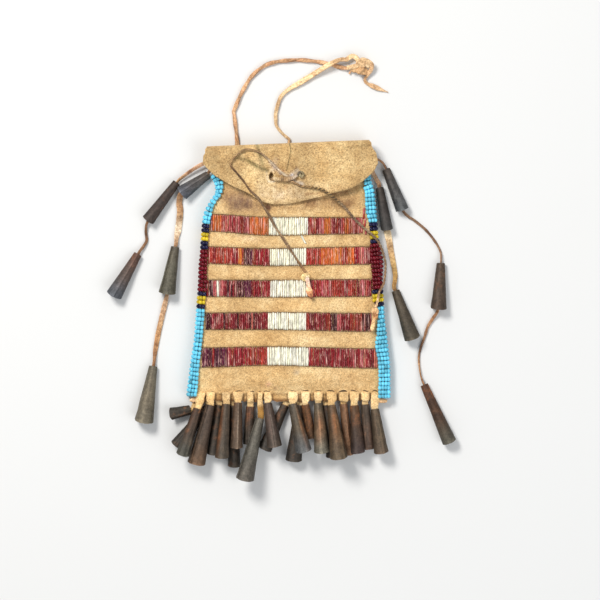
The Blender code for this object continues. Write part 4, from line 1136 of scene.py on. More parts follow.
def make_beads(name, side, colour_rows, node):
    rng = random.Random(41 + side)
    edge = edging_line(side)
    total = path_length(edge)
    rows = round(total / BEAD_PITCH)
    points, faces, colours, threads = [], [], [], []
    for row in range(rows):
        place, ahead = line_at(edge, total / rows * (row + 0.5))
        profile = bead_line(min(0.9, max(0.0, v_at(place.y))), side)
        around = path_length(profile)
        count = round(around / BEAD_LONG)
        outward = Vector((ahead.y, -ahead.x, 0)) * side
        lean = rng.uniform(-0.14, 0.14)
        slack = rng.uniform(-0.25, 0.25)
        down = picture_y(place.y)
        base = next(c for limit, c in colour_rows if down < limit + rng.uniform(-0.8, 0.8))
        lane = []
        for k in range(count):
            at, way = line_at(profile, around * (k + 0.5) / count + slack * 0.5)
            shift = (k - count / 2) * lean * 0.14 + rng.uniform(-0.07, 0.07)
            centre = place + outward * at.x + Vector((0, 0, at.y + rng.uniform(-0.04, 0.02))) + ahead * shift
            centre.z = max(centre.z, BEAD_LOWEST)
            if at.x < 0 and at.y > 4:
                centre.z = max(centre.z, front_z(centre.x, centre.y) + 0.85)
            direction = (outward * way.x + Vector((0, 0, way.y)) + ahead * (lean * 0.25)).normalized()
            tone = rng.uniform(0.66, 1.1)
            colour = tuple(c * tone for c in base)
            if rng.random() < DULL_SHARE:
                colour = tuple(c * 0.6 for c in colour)
            add_bead(points, faces, colours, centre, direction, colour, rng)
            lane.append(centre)
        threads.append(lane)
    obj = mesh_object(name, points, faces, BEAD, "pouch", (node,))
    paint(obj, colours)
    make_bead_threads(name + "_thread", threads)


def add_thread(points, faces, a, b, across, up, radius):
    """A straight bit of thread between two places."""
    walls, ends = tube_faces(len(points), 2, THREAD_SIDES)
    for p in (a, b):
        for k in range(THREAD_SIDES):
            t = 2 * math.pi * k / THREAD_SIDES
            points.append(p + across * (radius * math.cos(t)) + up * (radius * math.sin(t)))
    faces += walls + ends


def make_bead_threads(name, lanes):
    """The sinew that each row of beads is threaded on, seen in the gaps between them."""
    points, faces = [], []
    for lane in lanes:
        for a, b in zip(lane, lane[1:]):
            add_thread(points, faces, a, b, *across_to((b - a).normalized()), 0.3)
    obj = mesh_object(name, points, faces, THONG_LOOK, "pouch", ())
    paint(obj, [(0.75, 0.72, 0.66)] * len(points))


make_beads("left_beads", -1, LEFT_COLOURS, "left_bead_edging")
make_beads("right_beads", 1, RIGHT_COLOURS, "right_bead_edging")


# Quilled bands

IVORY, ORANGE, CRIMSON = lin(248, 246, 226), lin(216, 106, 42), lin(148, 28, 38)
MAROON, PINK, SCARLET, PLUM = lin(78, 14, 28), lin(194, 92, 88), lin(172, 52, 38), lin(98, 30, 56)
# Pale patches on the quills: worn dye, and partly painted highlights
WORN_AND_HIGHLIGHT = lin(242, 196, 184)
# For each band, the share of quills with pale worn patches, which are partly painted highlights, and how strong
# its dye is
WORN_AND_HIGHLIGHT_SHARES = (0.75, 0.5, 0.35, 0.35, 0.4)
BAND_DEPTHS = (0.8, 0.95, 0.84, 0.72, 0.84)
# How often a quill has its neighbour's dye
REPEAT_SHARE = 0.35
# Zones of each band on the picture: where it ends, and its dyes with their weights
ZONES = (
    ((215, ((PINK, 3), (ORANGE, 3))), (231, ((ORANGE, 7), (SCARLET, 2), (PINK, 1))), (236, ((CRIMSON, 1),)),
     (240, ((ORANGE, 2), (PINK, 2))), (246, ((CRIMSON, 5), (SCARLET, 3))), (250, ((PINK, 1), (SCARLET, 1))),
     (269.5, ((ORANGE, 1),)), (308, ((IVORY, 1),)), (318, ((SCARLET, 4), (CRIMSON, 3), (PINK, 1))),
     (323, ((CRIMSON, 2), (PINK, 2))), (330, ((ORANGE, 1),)), (345, ((CRIMSON, 4), (SCARLET, 3), (PINK, 2))),
     (999, ((SCARLET, 4), (ORANGE, 2), (PINK, 3)))),
    ((226, ((CRIMSON, 4), (SCARLET, 4))), (238, ((SCARLET, 4), (CRIMSON, 3), (PINK, 2))), (242.5, ((ORANGE, 1),)),
     (256, ((PLUM, 3), (MAROON, 3), (SCARLET, 1))), (270.5, ((CRIMSON, 6), (PINK, 2))), (307, ((IVORY, 1),)),
     (321, ((SCARLET, 3), (ORANGE, 3))), (355, ((ORANGE, 9), (SCARLET, 1))),
     (999, ((CRIMSON, 4), (PINK, 2), (SCARLET, 2)))),
    ((213, ((CRIMSON, 3), (MAROON, 1))), (217, ((PINK, 1), (CRIMSON, 1))), (221.5, ((IVORY, 1), (PINK, 1))),
     (226, ((PINK, 1), (CRIMSON, 1))), (245, ((MAROON, 4), (CRIMSON, 4))), (252, ((PLUM, 1),)),
     (270.9, ((CRIMSON, 5), (SCARLET, 3))), (307, ((IVORY, 1),)), (340, ((CRIMSON, 5), (SCARLET, 3), (PINK, 2))),
     (999, ((CRIMSON, 4), (PINK, 3), (SCARLET, 3)))),
    ((236, ((CRIMSON, 4), (MAROON, 4))), (268.3, ((CRIMSON, 5), (MAROON, 2), (PINK, 1))), (307, ((IVORY, 1),)),
     (331, ((CRIMSON, 5), (SCARLET, 3))), (337, ((MAROON, 1),)), (349, ((PINK, 3), (CRIMSON, 3))),
     (362, ((SCARLET, 4), (PINK, 3))), (999, ((CRIMSON, 3), (MAROON, 2)))),
    ((228, ((PLUM, 6), (CRIMSON, 1))), (240, ((MAROON, 3), (CRIMSON, 3), (SCARLET, 1))),
     (266.4, ((CRIMSON, 4), (SCARLET, 4))), (308, ((IVORY, 1),)), (999, ((CRIMSON, 6), (PINK, 2), (SCARLET, 3)))),
)
# A quill's rows along it, and the points across its upper side
QUILL_ROWS, QUILL_ACROSS = 16, 7
# The short upright stitches at the first band's right end: the uppermost on the picture, how far down the next
# is, and how many there are
LOOSE_STITCHES, LOOSE_PITCH, LOOSE_COUNT = (364.6, 209), 5.2, 5
# The white quill that has come loose below that band: its X, lower and upper end on the picture
LOOSE_QUILL = (303.6, 244.0, 235.8)


def pick(rng, dyes):
    total = sum(weight for _, weight in dyes)
    at = rng.uniform(0, total)
    for colour, weight in dyes:
        at -= weight
        if at <= 0:
            return colour
    return dyes[-1][0]


def at_ends(t, reach):
    """1 at both ends of a quill, 0 between."""
    return math.exp(-(t / reach) ** 2) + math.exp(-((1 - t) / reach) ** 2)


def add_quill(points, faces, colours, x, width, low, high, colour, wear_and_highlight_share, rng):
    """One quill over the hide, round on top, its ends tucked under the thread, with painted shade at its ends and
    edges, and pale worn patches that are partly painted highlights.
    """
    lean = rng.uniform(-0.2, 0.2)
    bow = rng.uniform(-0.12, 0.12)
    crown = rng.uniform(0.26, 0.42)
    lift = rng.uniform(0.0, 0.2)
    pale_at, pale_long, pale_side = rng.uniform(-0.1, 1.0), rng.uniform(0.12, 0.4), rng.uniform(-0.8, 0.8)
    pale = rng.uniform(0.35, 0.9) if rng.random() < wear_and_highlight_share else 0.0
    drift = rng.uniform(-0.25, 0.25)
    walls, ends = tube_faces(len(points), QUILL_ROWS + 1, QUILL_ACROSS + 2)
    for i in range(QUILL_ROWS + 1):
        t = i / QUILL_ROWS
        y = low + (high - low) * t
        middle = x + lean * (t - 0.5) + bow * math.sin(math.pi * t)
        tuck = 0.5 * at_ends(t, 0.045)
        thin = 1 - 0.25 * at_ends(t, 0.06)
        wear_and_highlight = pale * math.exp(-((t - pale_at) / pale_long) ** 2)
        for k in range(QUILL_ACROSS):
            s = -1 + 2 * k / (QUILL_ACROSS - 1)
            at = middle + s * width / 2 * thin
            points.append(Vector((at, y, front_z(at, y) + 0.18 + lift + crown * (1 - s * s) - tuck * 0.6)))
            # Painted shade: darker at both ends, where the quill tucks under the thread, and along its edges,
            # between neighbours; the drift is a random change of tone along it
            shade_and_drift = 1 - 0.35 * at_ends(t, 0.05) - 0.28 * abs(s) ** 3
            shade_and_drift *= 1 + drift * (t - 0.5)
            share = wear_and_highlight * math.exp(-((s - pale_side) / 0.45) ** 2)
            colours.append(tuple((c + (w - c) * share) * shade_and_drift for c, w in zip(colour, WORN_AND_HIGHLIGHT)))
        for s in (1, -1):
            at = middle + s * width / 2 * thin
            points.append(Vector((at, y, front_z(at, y) - 0.15)))
            # The sides below the crown are painted dark, as shade in the gaps between quills
            colours.append(tuple(c * 0.4 for c in colour))
    faces += walls + ends


def make_band(index):
    rng = random.Random(300 + index)
    points, faces, colours = [], [], []
    x, end = band_ends(index)
    last = None
    while x < end:
        width = rng.uniform(0.72, 1.28)
        centre = x + width / 2
        dyes = next(d for limit, d in ZONES[index] if picture_x(centre) < limit)
        if last not in [dye for dye, _ in dyes] or rng.random() >= REPEAT_SHARE:
            last = pick(rng, dyes)
        if last is IVORY:
            wear_and_highlight_share = 0.0
            tone = rng.uniform(0.92, 1.06)
            shade = (tone, tone * rng.uniform(0.97, 1.0), tone * rng.uniform(0.88, 1.02))
        else:
            wear_and_highlight_share = WORN_AND_HIGHLIGHT_SHARES[index]
            tone = rng.uniform(0.72, 1.34) * BAND_DEPTHS[index]
            shade = (tone, tone * rng.uniform(0.8, 1.3), tone * rng.uniform(0.85, 1.2))
        low, high = band_y(index, centre)
        wide = width * rng.uniform(0.91, 0.99)
        low += rng.uniform(-0.25, 0.25)
        high += rng.uniform(-0.25, 0.25)
        colour = tuple(c * s for c, s in zip(last, shade))
        add_quill(points, faces, colours, centre, wide, low, high, colour, wear_and_highlight_share, rng)
        x += width
    if index == 0:
        add_loose_quills(points, faces, colours, rng)
    node = f"quill_band_{index + 1}"
    obj = mesh_object(f"quills_{index + 1}", points, faces, QUILL, "pouch", (node,))
    paint(obj, colours)
    make_band_threads(index, rng)


def add_loose_quills(points, faces, colours, rng):
    """The short upright stitches at the band's right end and one white quill that has come loose below it."""
    right, top = LOOSE_STITCHES
    for k in range(LOOSE_COUNT):
        x, y = px(right + rng.uniform(-1.2, 1.2), top + LOOSE_PITCH * k)
        add_quill(points, faces, colours, x, 1.0, y - 2.6, y + 0.4, SCARLET if k % 2 else PINK, 0.8, rng)
    across, bottom, top = LOOSE_QUILL
    (x, low), (_, high) = px(across, bottom), px(across, top)
    start = len(points)
    add_quill(points, faces, colours, x, 1.15, low, high, IVORY, 0.0, rng)
    for p in points[start:]:
        p.x -= (p.y - (low + high) / 2) * 0.48


def make_band_threads(index, rng):
    """The sinew stitches along both edges of a band."""
    points, faces = [], []
    across, up = Vector((0, 1, 0)), Vector((0, 0, 1))
    for edge in (0, 1):
        line = []
        x, end = band_ends(index)
        while x < end:
            y = band_y(index, x)[edge] + (0.12 if edge else -0.12)
            z = front_z(x, y) + (0.22 if len(line) % 2 else 0.02)
            line.append(Vector((x, y + rng.uniform(-0.05, 0.05), z)))
            x += 0.6
        for a, b in zip(line, line[1:]):
            add_thread(points, faces, a, b, across, up, 0.13)
    obj = mesh_object(f"band_stitches_{index + 1}", points, faces, TIE_LOOK, "pouch", ())
    paint(obj, [(0.55, 0.45, 0.4)] * len(points))


for band in range(len(BANDS)):
    make_band(band)


# Fringe: tabs and cones

# How each front cone is turned to the side and tilted, in degrees
FRONT_TURNS = (
    (-17.7, 11.8), (-13.6, 0.9), (-4.4, 9.9), (-1.6, 8.5), (-1.4, -1.7), (-14.0, 10.6), (9.6, 14.8), (13.4, 14.6),
    (10.1, -5.9), (4.6, 9.2), (8.0, 15.0), (6.3, -1.7), (4.3, 6.9), (4.8, -1.0), (8.5, 4.5),
)
# The back cones, in the same columns as the front ones
BACK_CONES = (
    (-0.030, 1.15, 1.20, 0.390, 1.20, 0.80), (0.065, 0.88, 1.00, 0.968, 1.00, 0.85),
    (0.124, 0.56, 1.00, 0.977, 1.00, 0.88), (0.203, 0.62, 1.00, 1.201, 1.00, 0.80),
    (0.482, 0.56, 1.00, 0.955, 1.00, 0.90), (0.560, 0.56, 1.00, 1.099, 1.00, 1.00),
    (0.704, 0.56, 1.00, 1.029, 1.00, 0.80),
)
BACK_TURNS = ((-78.1, 4.7), (-39.1, 3.3), (-6.1, 3.5), (0.7, 2.3), (-25.5, 3.8), (-6.2, 4.2), (7.3, 2.7))
# The front cones that ride on the fringe's body, not on one of their own
FIXED = (5, 9, 12, 14)
# The front cones are this much shorter than their solids along the middle, in millimetres
RIM_SHORT = 1.5
# Millimetres to one of each share: tab length, mouth height, cone length, and the mouth's and wide end's radius
TAB_LONG, MOUTH_HIGH, CONE_LONG, CONE_MOUTH, CONE_WIDE = 4.0, 2.0, 25.0, 2.0, 4.0
# For each front cone: metal at the mouth, halfway and at the wide end, rust at both ends, the seam's angle, and
# patches: share of the length, side from -1 left to 1 right, their reaches, colour and strength
CONE_LOOKS = (
    ((80, 62, 50), (74, 62, 52), (80, 80, 72), 0.34, 0.16, 0.9, ((0.3, -0.6, 0.3, 0.5, (110, 74, 52), 0.5),)),
    ((88, 72, 62), (90, 76, 66), (104, 82, 64), 0.24, 0.2, 2.2, ((0.95, 0.0, 0.12, 0.9, (128, 100, 76), 0.5),)),
    ((86, 74, 62), (82, 72, 62), (82, 74, 64), 0.26, 0.22, 0.6, ((0.45, -0.75, 0.4, 0.3, (156, 98, 58), 0.8),)),
    ((96, 76, 60), (94, 74, 58), (90, 74, 60), 0.30, 0.26, 1.3, (
        (0.5, 0.1, 0.5, 0.1, (150, 136, 120), 0.6), (0.5, -0.5, 0.3, 0.12, (140, 122, 106), 0.4))),
    ((88, 70, 58), (84, 72, 62), (84, 78, 72), 0.42, 0.26, 2.0, ((0.2, -0.3, 0.2, 0.5, (126, 78, 52), 0.5),)),
    ((112, 108, 100), (106, 104, 97), (98, 94, 88), 0.12, 0.12, 2.6, ((0.8, 0.5, 0.2, 0.4, (86, 78, 70), 0.4),)),
    ((88, 74, 66), (84, 70, 64), (80, 70, 62), 0.20, 0.22, 1.6, ((0.5, 0.2, 0.5, 0.08, (140, 126, 112), 0.5),)),
    ((98, 90, 80), (92, 82, 68), (96, 100, 104), 0.22, 0.12, 1.0, (
        (0.5, 0.62, 0.35, 0.25, (160, 104, 62), 0.6),)),
    ((116, 86, 58), (104, 76, 52), (98, 76, 56), 0.52, 0.44, 2.0, ((0.4, 0.2, 0.3, 0.4, (160, 100, 56), 0.5),)),
    ((106, 96, 80), (114, 96, 76), (116, 114, 104), 0.24, 0.12, 1.5, (
        (0.45, 0.1, 0.22, 0.6, (158, 104, 66), 0.55), (0.7, -0.4, 0.12, 0.4, (150, 100, 62), 0.35))),
    ((98, 80, 60), (104, 82, 60), (94, 82, 66), 0.32, 0.20, 0.8, ((0.36, 0.1, 0.24, 0.45, (160, 102, 58), 0.6),)),
    ((146, 108, 80), (142, 106, 80), (134, 102, 78), 0.30, 0.30, 1.2, (
        (0.5, -0.2, 0.5, 0.12, (148, 118, 90), 0.5), (0.5, 0.5, 0.5, 0.1, (78, 58, 46), 0.5))),
    ((98, 74, 52), (84, 66, 54), (70, 58, 56), 0.48, 0.20, 0.2, ((0.2, 0.3, 0.2, 0.5, (130, 86, 52), 0.5),)),
    ((88, 76, 66), (92, 78, 68), (96, 78, 68), 0.26, 0.28, 1.9, ((0.7, 0.4, 0.2, 0.3, (124, 88, 66), 0.4),)),
    ((90, 78, 64), (94, 82, 66), (98, 84, 70), 0.20, 0.18, 1.1, ((0.4, -0.4, 0.3, 0.3, (118, 92, 70), 0.4),)),
)
BACK_LOOK = ((74, 64, 54), (70, 62, 54), (68, 62, 56), 0.36, 0.28)
# For the front layer's tabs and the back one's: the Y and the height where they start, and how far they rise
FRONT_TAB, BACK_TAB = (-60.85, 4.3, 0.5), (-61.3, 2.8, -0.4)
BACK_TAB_WIDTH = 3.2
# The ochre stain of one tab's end, and that tab's number
OCHRE, OCHRE_TAB = (0.42, 0.3, 0.12), 6


def fringe_mouth(values):
    """The middle of a fringe cone's mouth."""
    share, tab, height = values[:3]
    return fringe_x(share), HEM_EDGE - TAB_LONG * tab, MOUTH_HIGH * height


def make_fringe_cone(name, node, body, values, angles, short, look, seed):
    length, narrow, wide = values[3:]
    turn, tilt = (math.radians(a) for a in angles)
    rolled_cone(name, fringe_mouth(values), turn - math.pi / 2, tilt, CONE_LONG * length - short,
                CONE_MOUTH * narrow, CONE_WIDE * wide, body, node, look, seed)


def make_tab(name, values, angles, layer, seed, wide, ochre=0.0):
    """A strip of hide from its slit in the hem, over the hem's edge and into its cone."""
    share, tab = values[:2]
    turn, tilt = (math.radians(a) for a in angles)
    x = fringe_x(share)
    mouth = Vector(fringe_mouth(values))
    ahead = Vector((math.sin(turn), -math.cos(turn), math.tan(tilt)))
    x -= 4.0 * ahead.x if abs(ahead.x) > 0.9 else 0.0
    x += 1.2 if layer is FRONT_TAB and share < 0.02 else 0.0
    root_y, root_z, rise = layer
    route = [
        (x, root_y, root_z - 0.8 * rise), (x, -61.5, root_z + rise), (x, -62.8, root_z + rise * 1.5),
        (x + ahead.x * 0.3, -64.7, root_z + rise * 1.4),
        mouth - ahead * min(1.6, 2.5 * tab + 0.3), mouth + ahead * 0.4, mouth + ahead * 2.2,
    ]
    narrow = 3.2 / wide
    warm = 0.5 + noise.noise(Vector((seed * 3.1, 0, 4)))

    def shape(t):
        width = 1 + (narrow - 1) * ease((t - 0.3) / 0.4) + 0.08 * noise.noise(Vector((t * 5, seed, 0)))
        return width, (0.62 + 0.38 * ease(t / 0.12)) * (1.0 - 0.22 * ease((t - 0.5) / 0.3))

    def tone(t, a, s):
        # Painted shade: darker where the tab goes into its cone, and along its edges
        deep = 1.04 - 0.4 * ease((t - 0.72) / 0.2) - 0.22 * abs(math.cos(a)) ** 6
        base = (1.22, 1.27 - 0.06 * warm, 1.40 - 0.22 * warm)
        stain = ochre * ease((t - 0.35) / 0.2)
        return tuple(c * s * deep * (1 + (o - 1) * stain) for c, o in zip(base, OCHRE))

    ribbon(name, route, wide, 1.35, HIDE_LOOK, "fringe", shape=shape, seed=seed, tone=tone, wobble=0.12,
           step=0.35, sides=16, square=0.6)


# The painted shadows of the slits along the hem: sideways and upward from their tab, half width, height and slope
SLIT_SHADOWS = (
    (0.6, -0.5, 1.75, 0.30, 0.0), (0.3, -0.3, 1.6, 0.28, 0.1), (0.4, -0.3, 1.5, 0.30, 0.0),
    (0.2, 0.2, 1.7, 0.25, 0.05), (0.8, -0.2, 1.4, 0.34, 0.0), (-0.2, -0.2, 0.9, 0.2, 0.0),
    (-0.5, 0.1, 1.7, 0.25, -0.05), (0.0, 0.4, 1.5, 0.14, 0.0), (0.1, 0.4, 1.7, 0.25, 0.0),
    (0.1, 0.4, 1.5, 0.20, 0.03), (-0.3, 0.3, 1.9, 0.30, -0.1), (-0.2, 0.2, 2.0, 0.50, 0.06),
    (-0.3, 0.4, 1.6, 0.30, -0.15), (0.2, 0.2, 1.6, 0.30, -0.2), (0.0, 0.3, 1.3, 0.30, 0.0),
)
# How many corners a slit has, and the Y that the slits lie at
SLIT_SIDES, SLIT_Y = 28, -60.5


def make_slit_shadows():
    """Painted shadow in the mouths of the slits along the hem: dark patches laid on the hide."""
    points, faces = [], []
    for index, ((tab_x, _), (aside, above, half, tall, slope)) in enumerate(zip(TABS, SLIT_SHADOWS)):
        x, y = tab_x + aside, SLIT_Y + above
        start = len(points)
        for k in range(SLIT_SIDES):
            a = 2 * math.pi * k / SLIT_SIDES
            s = math.cos(a)
            r = 1 + 0.2 * noise.noise(Vector((s * 2.2, math.sin(a), index * 3.0)))
            bend = -0.28 * s * s + slope * half * s + 0.2 * noise.noise(Vector((s * 1.3, index * 2.0, 5.0)))
            points.append(Vector((x + half * s * r, y + tall * 0.8 * math.sin(a) * r + bend, 0)))
        points.append(Vector((x, y, 0)))
        for p in points[start:]:
            p.z = front_z(p.x, p.y) + 0.05
        middle = start + SLIT_SIDES
        faces += [(start + k, start + (k + 1) % SLIT_SIDES, middle) for k in range(SLIT_SIDES)]
    obj = mesh_object("hem_slit_shadows", points, faces, SLIT_SHADOW_LOOK, "pouch", ())
    paint(obj, [(1, 1, 1)] * len(points))


HEM_COLUMNS = 96
# Rows of the back hem, in millimetres below the hem's line
BACK_HEM_DROPS = (0.3, 1.0, 1.8, 2.6, 3.4, 4.2)


def make_back_hem():
    outer, inner = [], []
    for drop in BACK_HEM_DROPS:
        row = []
        for k in range(HEM_COLUMNS + 1):
            x = FRINGE_LEFT + (FRINGE_RIGHT - FRINGE_LEFT) * k / HEM_COLUMNS
            ragged = 0.4 * cloud(x, 0, 3.0, 8.5) if drop == BACK_HEM_DROPS[-1] else 0.0
            row.append(Vector((x, HEM_Y - drop + ragged, 3.1 + 0.1 * cloud(x, drop, 5, 6.0))))
        outer.append(row)
        inner.append([p - Vector((0, 0, 0.9)) for p in row])
    points, faces = lattice(inner, outer)
    obj = mesh_object("back_hem", points, faces, HIDE_LOOK, "fringe", ("back_fringe", "front_fringe"))
    # The back hem is painted darker and browner, as shade under the front hem
    paint(obj, [tuple(c * k for c, k in zip(back_tone(p), (0.6, 0.5, 0.4))) for p in points])


def make_fringe():
    make_back_hem()
    make_slit_shadows()
    for index, (values, angles) in enumerate(zip(FRONT_CONES, FRONT_TURNS)):
        number = index + 1
        body = "fringe" if number in FIXED else f"cone_{number:02d}"
        make_fringe_cone(f"tin_cone_{number:02d}", f"front_cone_{number:02d}", body, values, angles, RIM_SHORT,
                         CONE_LOOKS[index], 50 + index)
        make_tab(f"tab_{number:02d}", values, angles, FRONT_TAB, index + 0.5, TAB_WIDTHS[index],
                 1.0 if number == OCHRE_TAB else 0.0)
    for index, (values, angles) in enumerate(zip(BACK_CONES, BACK_TURNS)):
        number = index + 1
        make_fringe_cone(f"tin_cone_back_{number}", f"back_cone_{number:02d}", "fringe", values, angles, 0.0,
                         (*BACK_LOOK, 1.0 + index, ()), 90 + index)
        make_tab(f"tab_back_{number}", values, angles, BACK_TAB, index + 20.5, BACK_TAB_WIDTH)


# The seams' lower ends on the picture, and their widths in millimetres
SEAM_ENDS = {
    "seam_end_left": (((203, 398), (199, 399), (195.5, 399.6), (192.5, 399.8), (190, 399.9)), 2.7),
    "seam_end_right": (((377, 399), (380, 400), (382.5, 400.4), (385, 400.6), (387, 400.7)), 2.5),
}
SEAM_END_Z = 3.9


def make_seam_ends():
    """The seams' lower ends, which show as a bit of hide below each bead edging."""
    def rounded(t):
        return 1.0 - 0.55 * ease((t - 0.7) / 0.3), 1.0 - 0.3 * ease((t - 0.7) / 0.3)

    def tone(t, a, s):
        return (1.2 * s, 1.12 * s, 1.3 * s)

    for name, (places, width) in SEAM_ENDS.items():
        route = [(*px(x, y), SEAM_END_Z) for x, y in places]
        ribbon(name, route, width, 1.5, HIDE_LOOK, "pouch", shape=rounded, seed=31.0, wobble=0.15, square=0.7,
               tone=tone)


make_fringe()
make_seam_ends()


# Side thongs and their cones

# Each thong's route, and its cones: which of its points lie at the mouth and at the wide end, and how wide that
# is
TASSELS = (
    ("left_outer", (
        (-41.4, 53.3, 3.5), (-43.9, 52.7, 3.3), (-49.1, 49.7, 2.6), (-53.6, 46.4, 2.1),
        (-55.3, 45.1, 1.9), (-56.5, 43.55, 2.0), (-63.6, 34.1, 2.2), (-70.75, 24.75, 2.3),
        (-72.0, 19.6, 0.95), (-71.6, 15.0, 0.75), (-73.0, 12.0, 1.2), (-74.85, 9.6, 1.8),
        (-75.85, 7.85, 2.0), (-81.85, -2.6, 2.3), (-85.85, -9.5, 2.5),
    ), ((5, 7, 0.81), (12, 14, 1.00))),
    ("left_inner", (
        (-39.7, 49.7, 3.4), (-40.8, 48.5, 2.6), (-41.5, 47.0, 2.0), (-48.15, 42.5, 2.2),
        (-54.0, 38.5, 2.3), (-55.3, 33.8, 0.95), (-54.9, 29.3, 0.75), (-55.7, 21.1, 0.75),
        (-56.6, 16.5, 1.2), (-56.9, 13.4, 1.8), (-57.25, 11.45, 2.0), (-59.25, 0.0, 2.2),
        (-61.2, -11.5, 2.3), (-62.6, -17.5, 0.95), (-65.6, -30.5, 0.75), (-67.2, -39.5, 0.75),
        (-67.6, -43.0, 1.2), (-67.9, -46.1, 1.8), (-68.2, -48.1, 2.0), (-70.5, -62.0, 2.4),
        (-72.2, -72.0, 2.6),
    ), ((2, 4, 0.93), (10, 12, 1.04), (18, 20, 1.17))),
    ("right_outer", (
        (41.4, 55.6, 3.5), (44.2, 54.9, 3.3), (46.2, 53.6, 2.6), (47.3, 52.1, 2.1),
        (48.0, 50.3, 2.0), (52.1, 40.15, 2.2), (56.15, 30.05, 2.3), (59.2, 26.6, 1.2),
        (61.8, 25.0, 0.75), (67.65, 20.2, 0.75), (72.6, 14.1, 0.75), (75.2, 9.0, 1.2),
        (75.45, 5.4, 1.8), (75.35, 3.35, 2.0), (74.7, -8.0, 2.2), (74.05, -19.25, 2.3),
        (71.3, -24.3, 1.0), (68.9, -28.3, 0.75), (67.25, -33.5, 0.75), (65.3, -39.0, 0.75),
        (64.4, -44.0, 0.75), (65.0, -51.0, 1.1), (66.1, -55.5, 1.8), (66.9, -57.35, 2.0),
        (73.2, -71.65, 2.2), (78.0, -82.5, 2.3),
    ), ((4, 6, 0.81), (13, 15, 1.00), (23, 25, 0.90))),
    ("right_inner", (
        (40.1, 50.8, 3.5), (41.9, 47.3, 3.1), (43.7, 44.2, 2.4), (44.4, 43.0, 2.1),
        (44.7, 41.1, 2.0), (46.55, 30.65, 2.2), (48.4, 20.25, 2.3), (49.5, 14.8, 0.95),
        (50.6, 8.5, 0.75), (52.0, 1.5, 0.75), (52.6, -3.5, 1.0), (51.95, -8.5, 1.8),
        (52.6, -10.4, 2.0), (56.85, -22.5, 2.2), (59.75, -30.75, 2.4),
    ), ((4, 6, 0.80), (12, 14, 1.00))),
)
# Metal at the mouth, halfway and at the wide end, and rust at both, for each side cone
SIDE_LOOKS = {
    "left_outer": (((72, 60, 54), (68, 56, 52), (70, 60, 56), 0.30, 0.22),
                   ((104, 74, 62), (92, 79, 74), (88, 94, 104), 0.34, 0.10)),
    "left_inner": (((92, 84, 78), (94, 92, 94), (92, 96, 108), 0.12, 0.08),
                   ((102, 96, 84), (100, 98, 86), (98, 96, 84), 0.16, 0.12),
                   ((116, 110, 96), (126, 118, 102), (120, 114, 100), 0.12, 0.12)),
    "right_outer": (((84, 76, 71), (88, 87, 88), (93, 98, 103), 0.20, 0.08),
                    ((90, 74, 60), (86, 72, 60), (84, 70, 60), 0.30, 0.26),
                    ((92, 62, 46), (84, 60, 44), (92, 90, 80), 0.46, 0.10)),
    "right_inner": (((68, 60, 55), (65, 60, 59), (71, 70, 70), 0.22, 0.14),
                    ((88, 78, 64), (88, 80, 68), (86, 80, 68), 0.20, 0.18)),
}
# A side cone with a dark seam
SIDE_PATCHES = {("left_inner", 2): ((0.5, 0.15, 0.6, 0.1, (62, 54, 46), 0.6),)}
# A side cone whose mouth and wide end lie this far from its solid's, in millimetres, as the photo shows
SIDE_SHIFTS = {("left_inner", 0): (Vector((0.75, 0.5, 0.0)), Vector((0.15, -0.25, 0.0)))}
# The cones lie this high, and the last of a thong reaches this far past the thong's end
SIDE_CONE_Z, LAST_CONE_REACH = 2.0, 3.6
# Along each side thong, as shares of its length: width in millimetres and colour
SIDE_BANDS = {
    "left_outer": (
        (0.0, 1.9, (190, 142, 104)), (0.08, 2.0, (206, 158, 122)), (0.2, 2.0, (200, 156, 112)),
        (0.27, 1.6, (130, 88, 52)), (0.45, 1.5, (150, 104, 70)), (0.55, 1.5, (128, 90, 60)),
        (1.0, 1.4, (128, 90, 60)),
    ),
    "left_inner": (
        (0.0, 1.6, (150, 106, 70)), (0.13, 1.6, (150, 106, 70)), (0.155, 2.9, (172, 130, 92)),
        (0.22, 3.2, (196, 152, 108)), (0.29, 3.2, (230, 202, 170)), (0.33, 2.0, (200, 160, 122)),
        (0.42, 1.5, (140, 98, 64)), (0.53, 1.9, (190, 148, 110)), (0.59, 2.6, (222, 180, 140)),
        (0.68, 2.6, (218, 168, 118)), (0.755, 2.3, (202, 150, 104)), (0.79, 1.6, (160, 114, 76)),
        (1.0, 1.4, (130, 92, 60)),
    ),
    "right_outer": (
        (0.0, 1.9, (190, 142, 100)), (0.04, 1.7, (150, 108, 74)), (0.2, 1.4, (134, 98, 70)),
        (0.3, 1.35, (132, 98, 72)), (0.42, 1.4, (140, 102, 74)), (0.48, 1.7, (190, 142, 100)),
        (0.62, 1.5, (168, 120, 82)), (0.7, 1.4, (134, 96, 66)), (0.8, 1.6, (176, 128, 88)),
        (1.0, 1.4, (130, 92, 60)),
    ),
    "right_inner": (
        (0.0, 2.2, (196, 156, 120)), (0.08, 2.3, (188, 146, 110)), (0.16, 1.8, (150, 108, 74)),
        (0.36, 1.8, (170, 126, 84)), (0.40, 3.4, (232, 200, 156)), (0.50, 3.0, (230, 190, 138)),
        (0.62, 2.5, (206, 164, 98)), (0.70, 2.2, (188, 144, 80)), (0.78, 1.6, (140, 100, 64)),
        (1.0, 1.4, (130, 92, 60)),
    ),
}
# A side thong's usual width and thickness
SIDE_WIDTH, SIDE_THICK = 1.7, 0.85


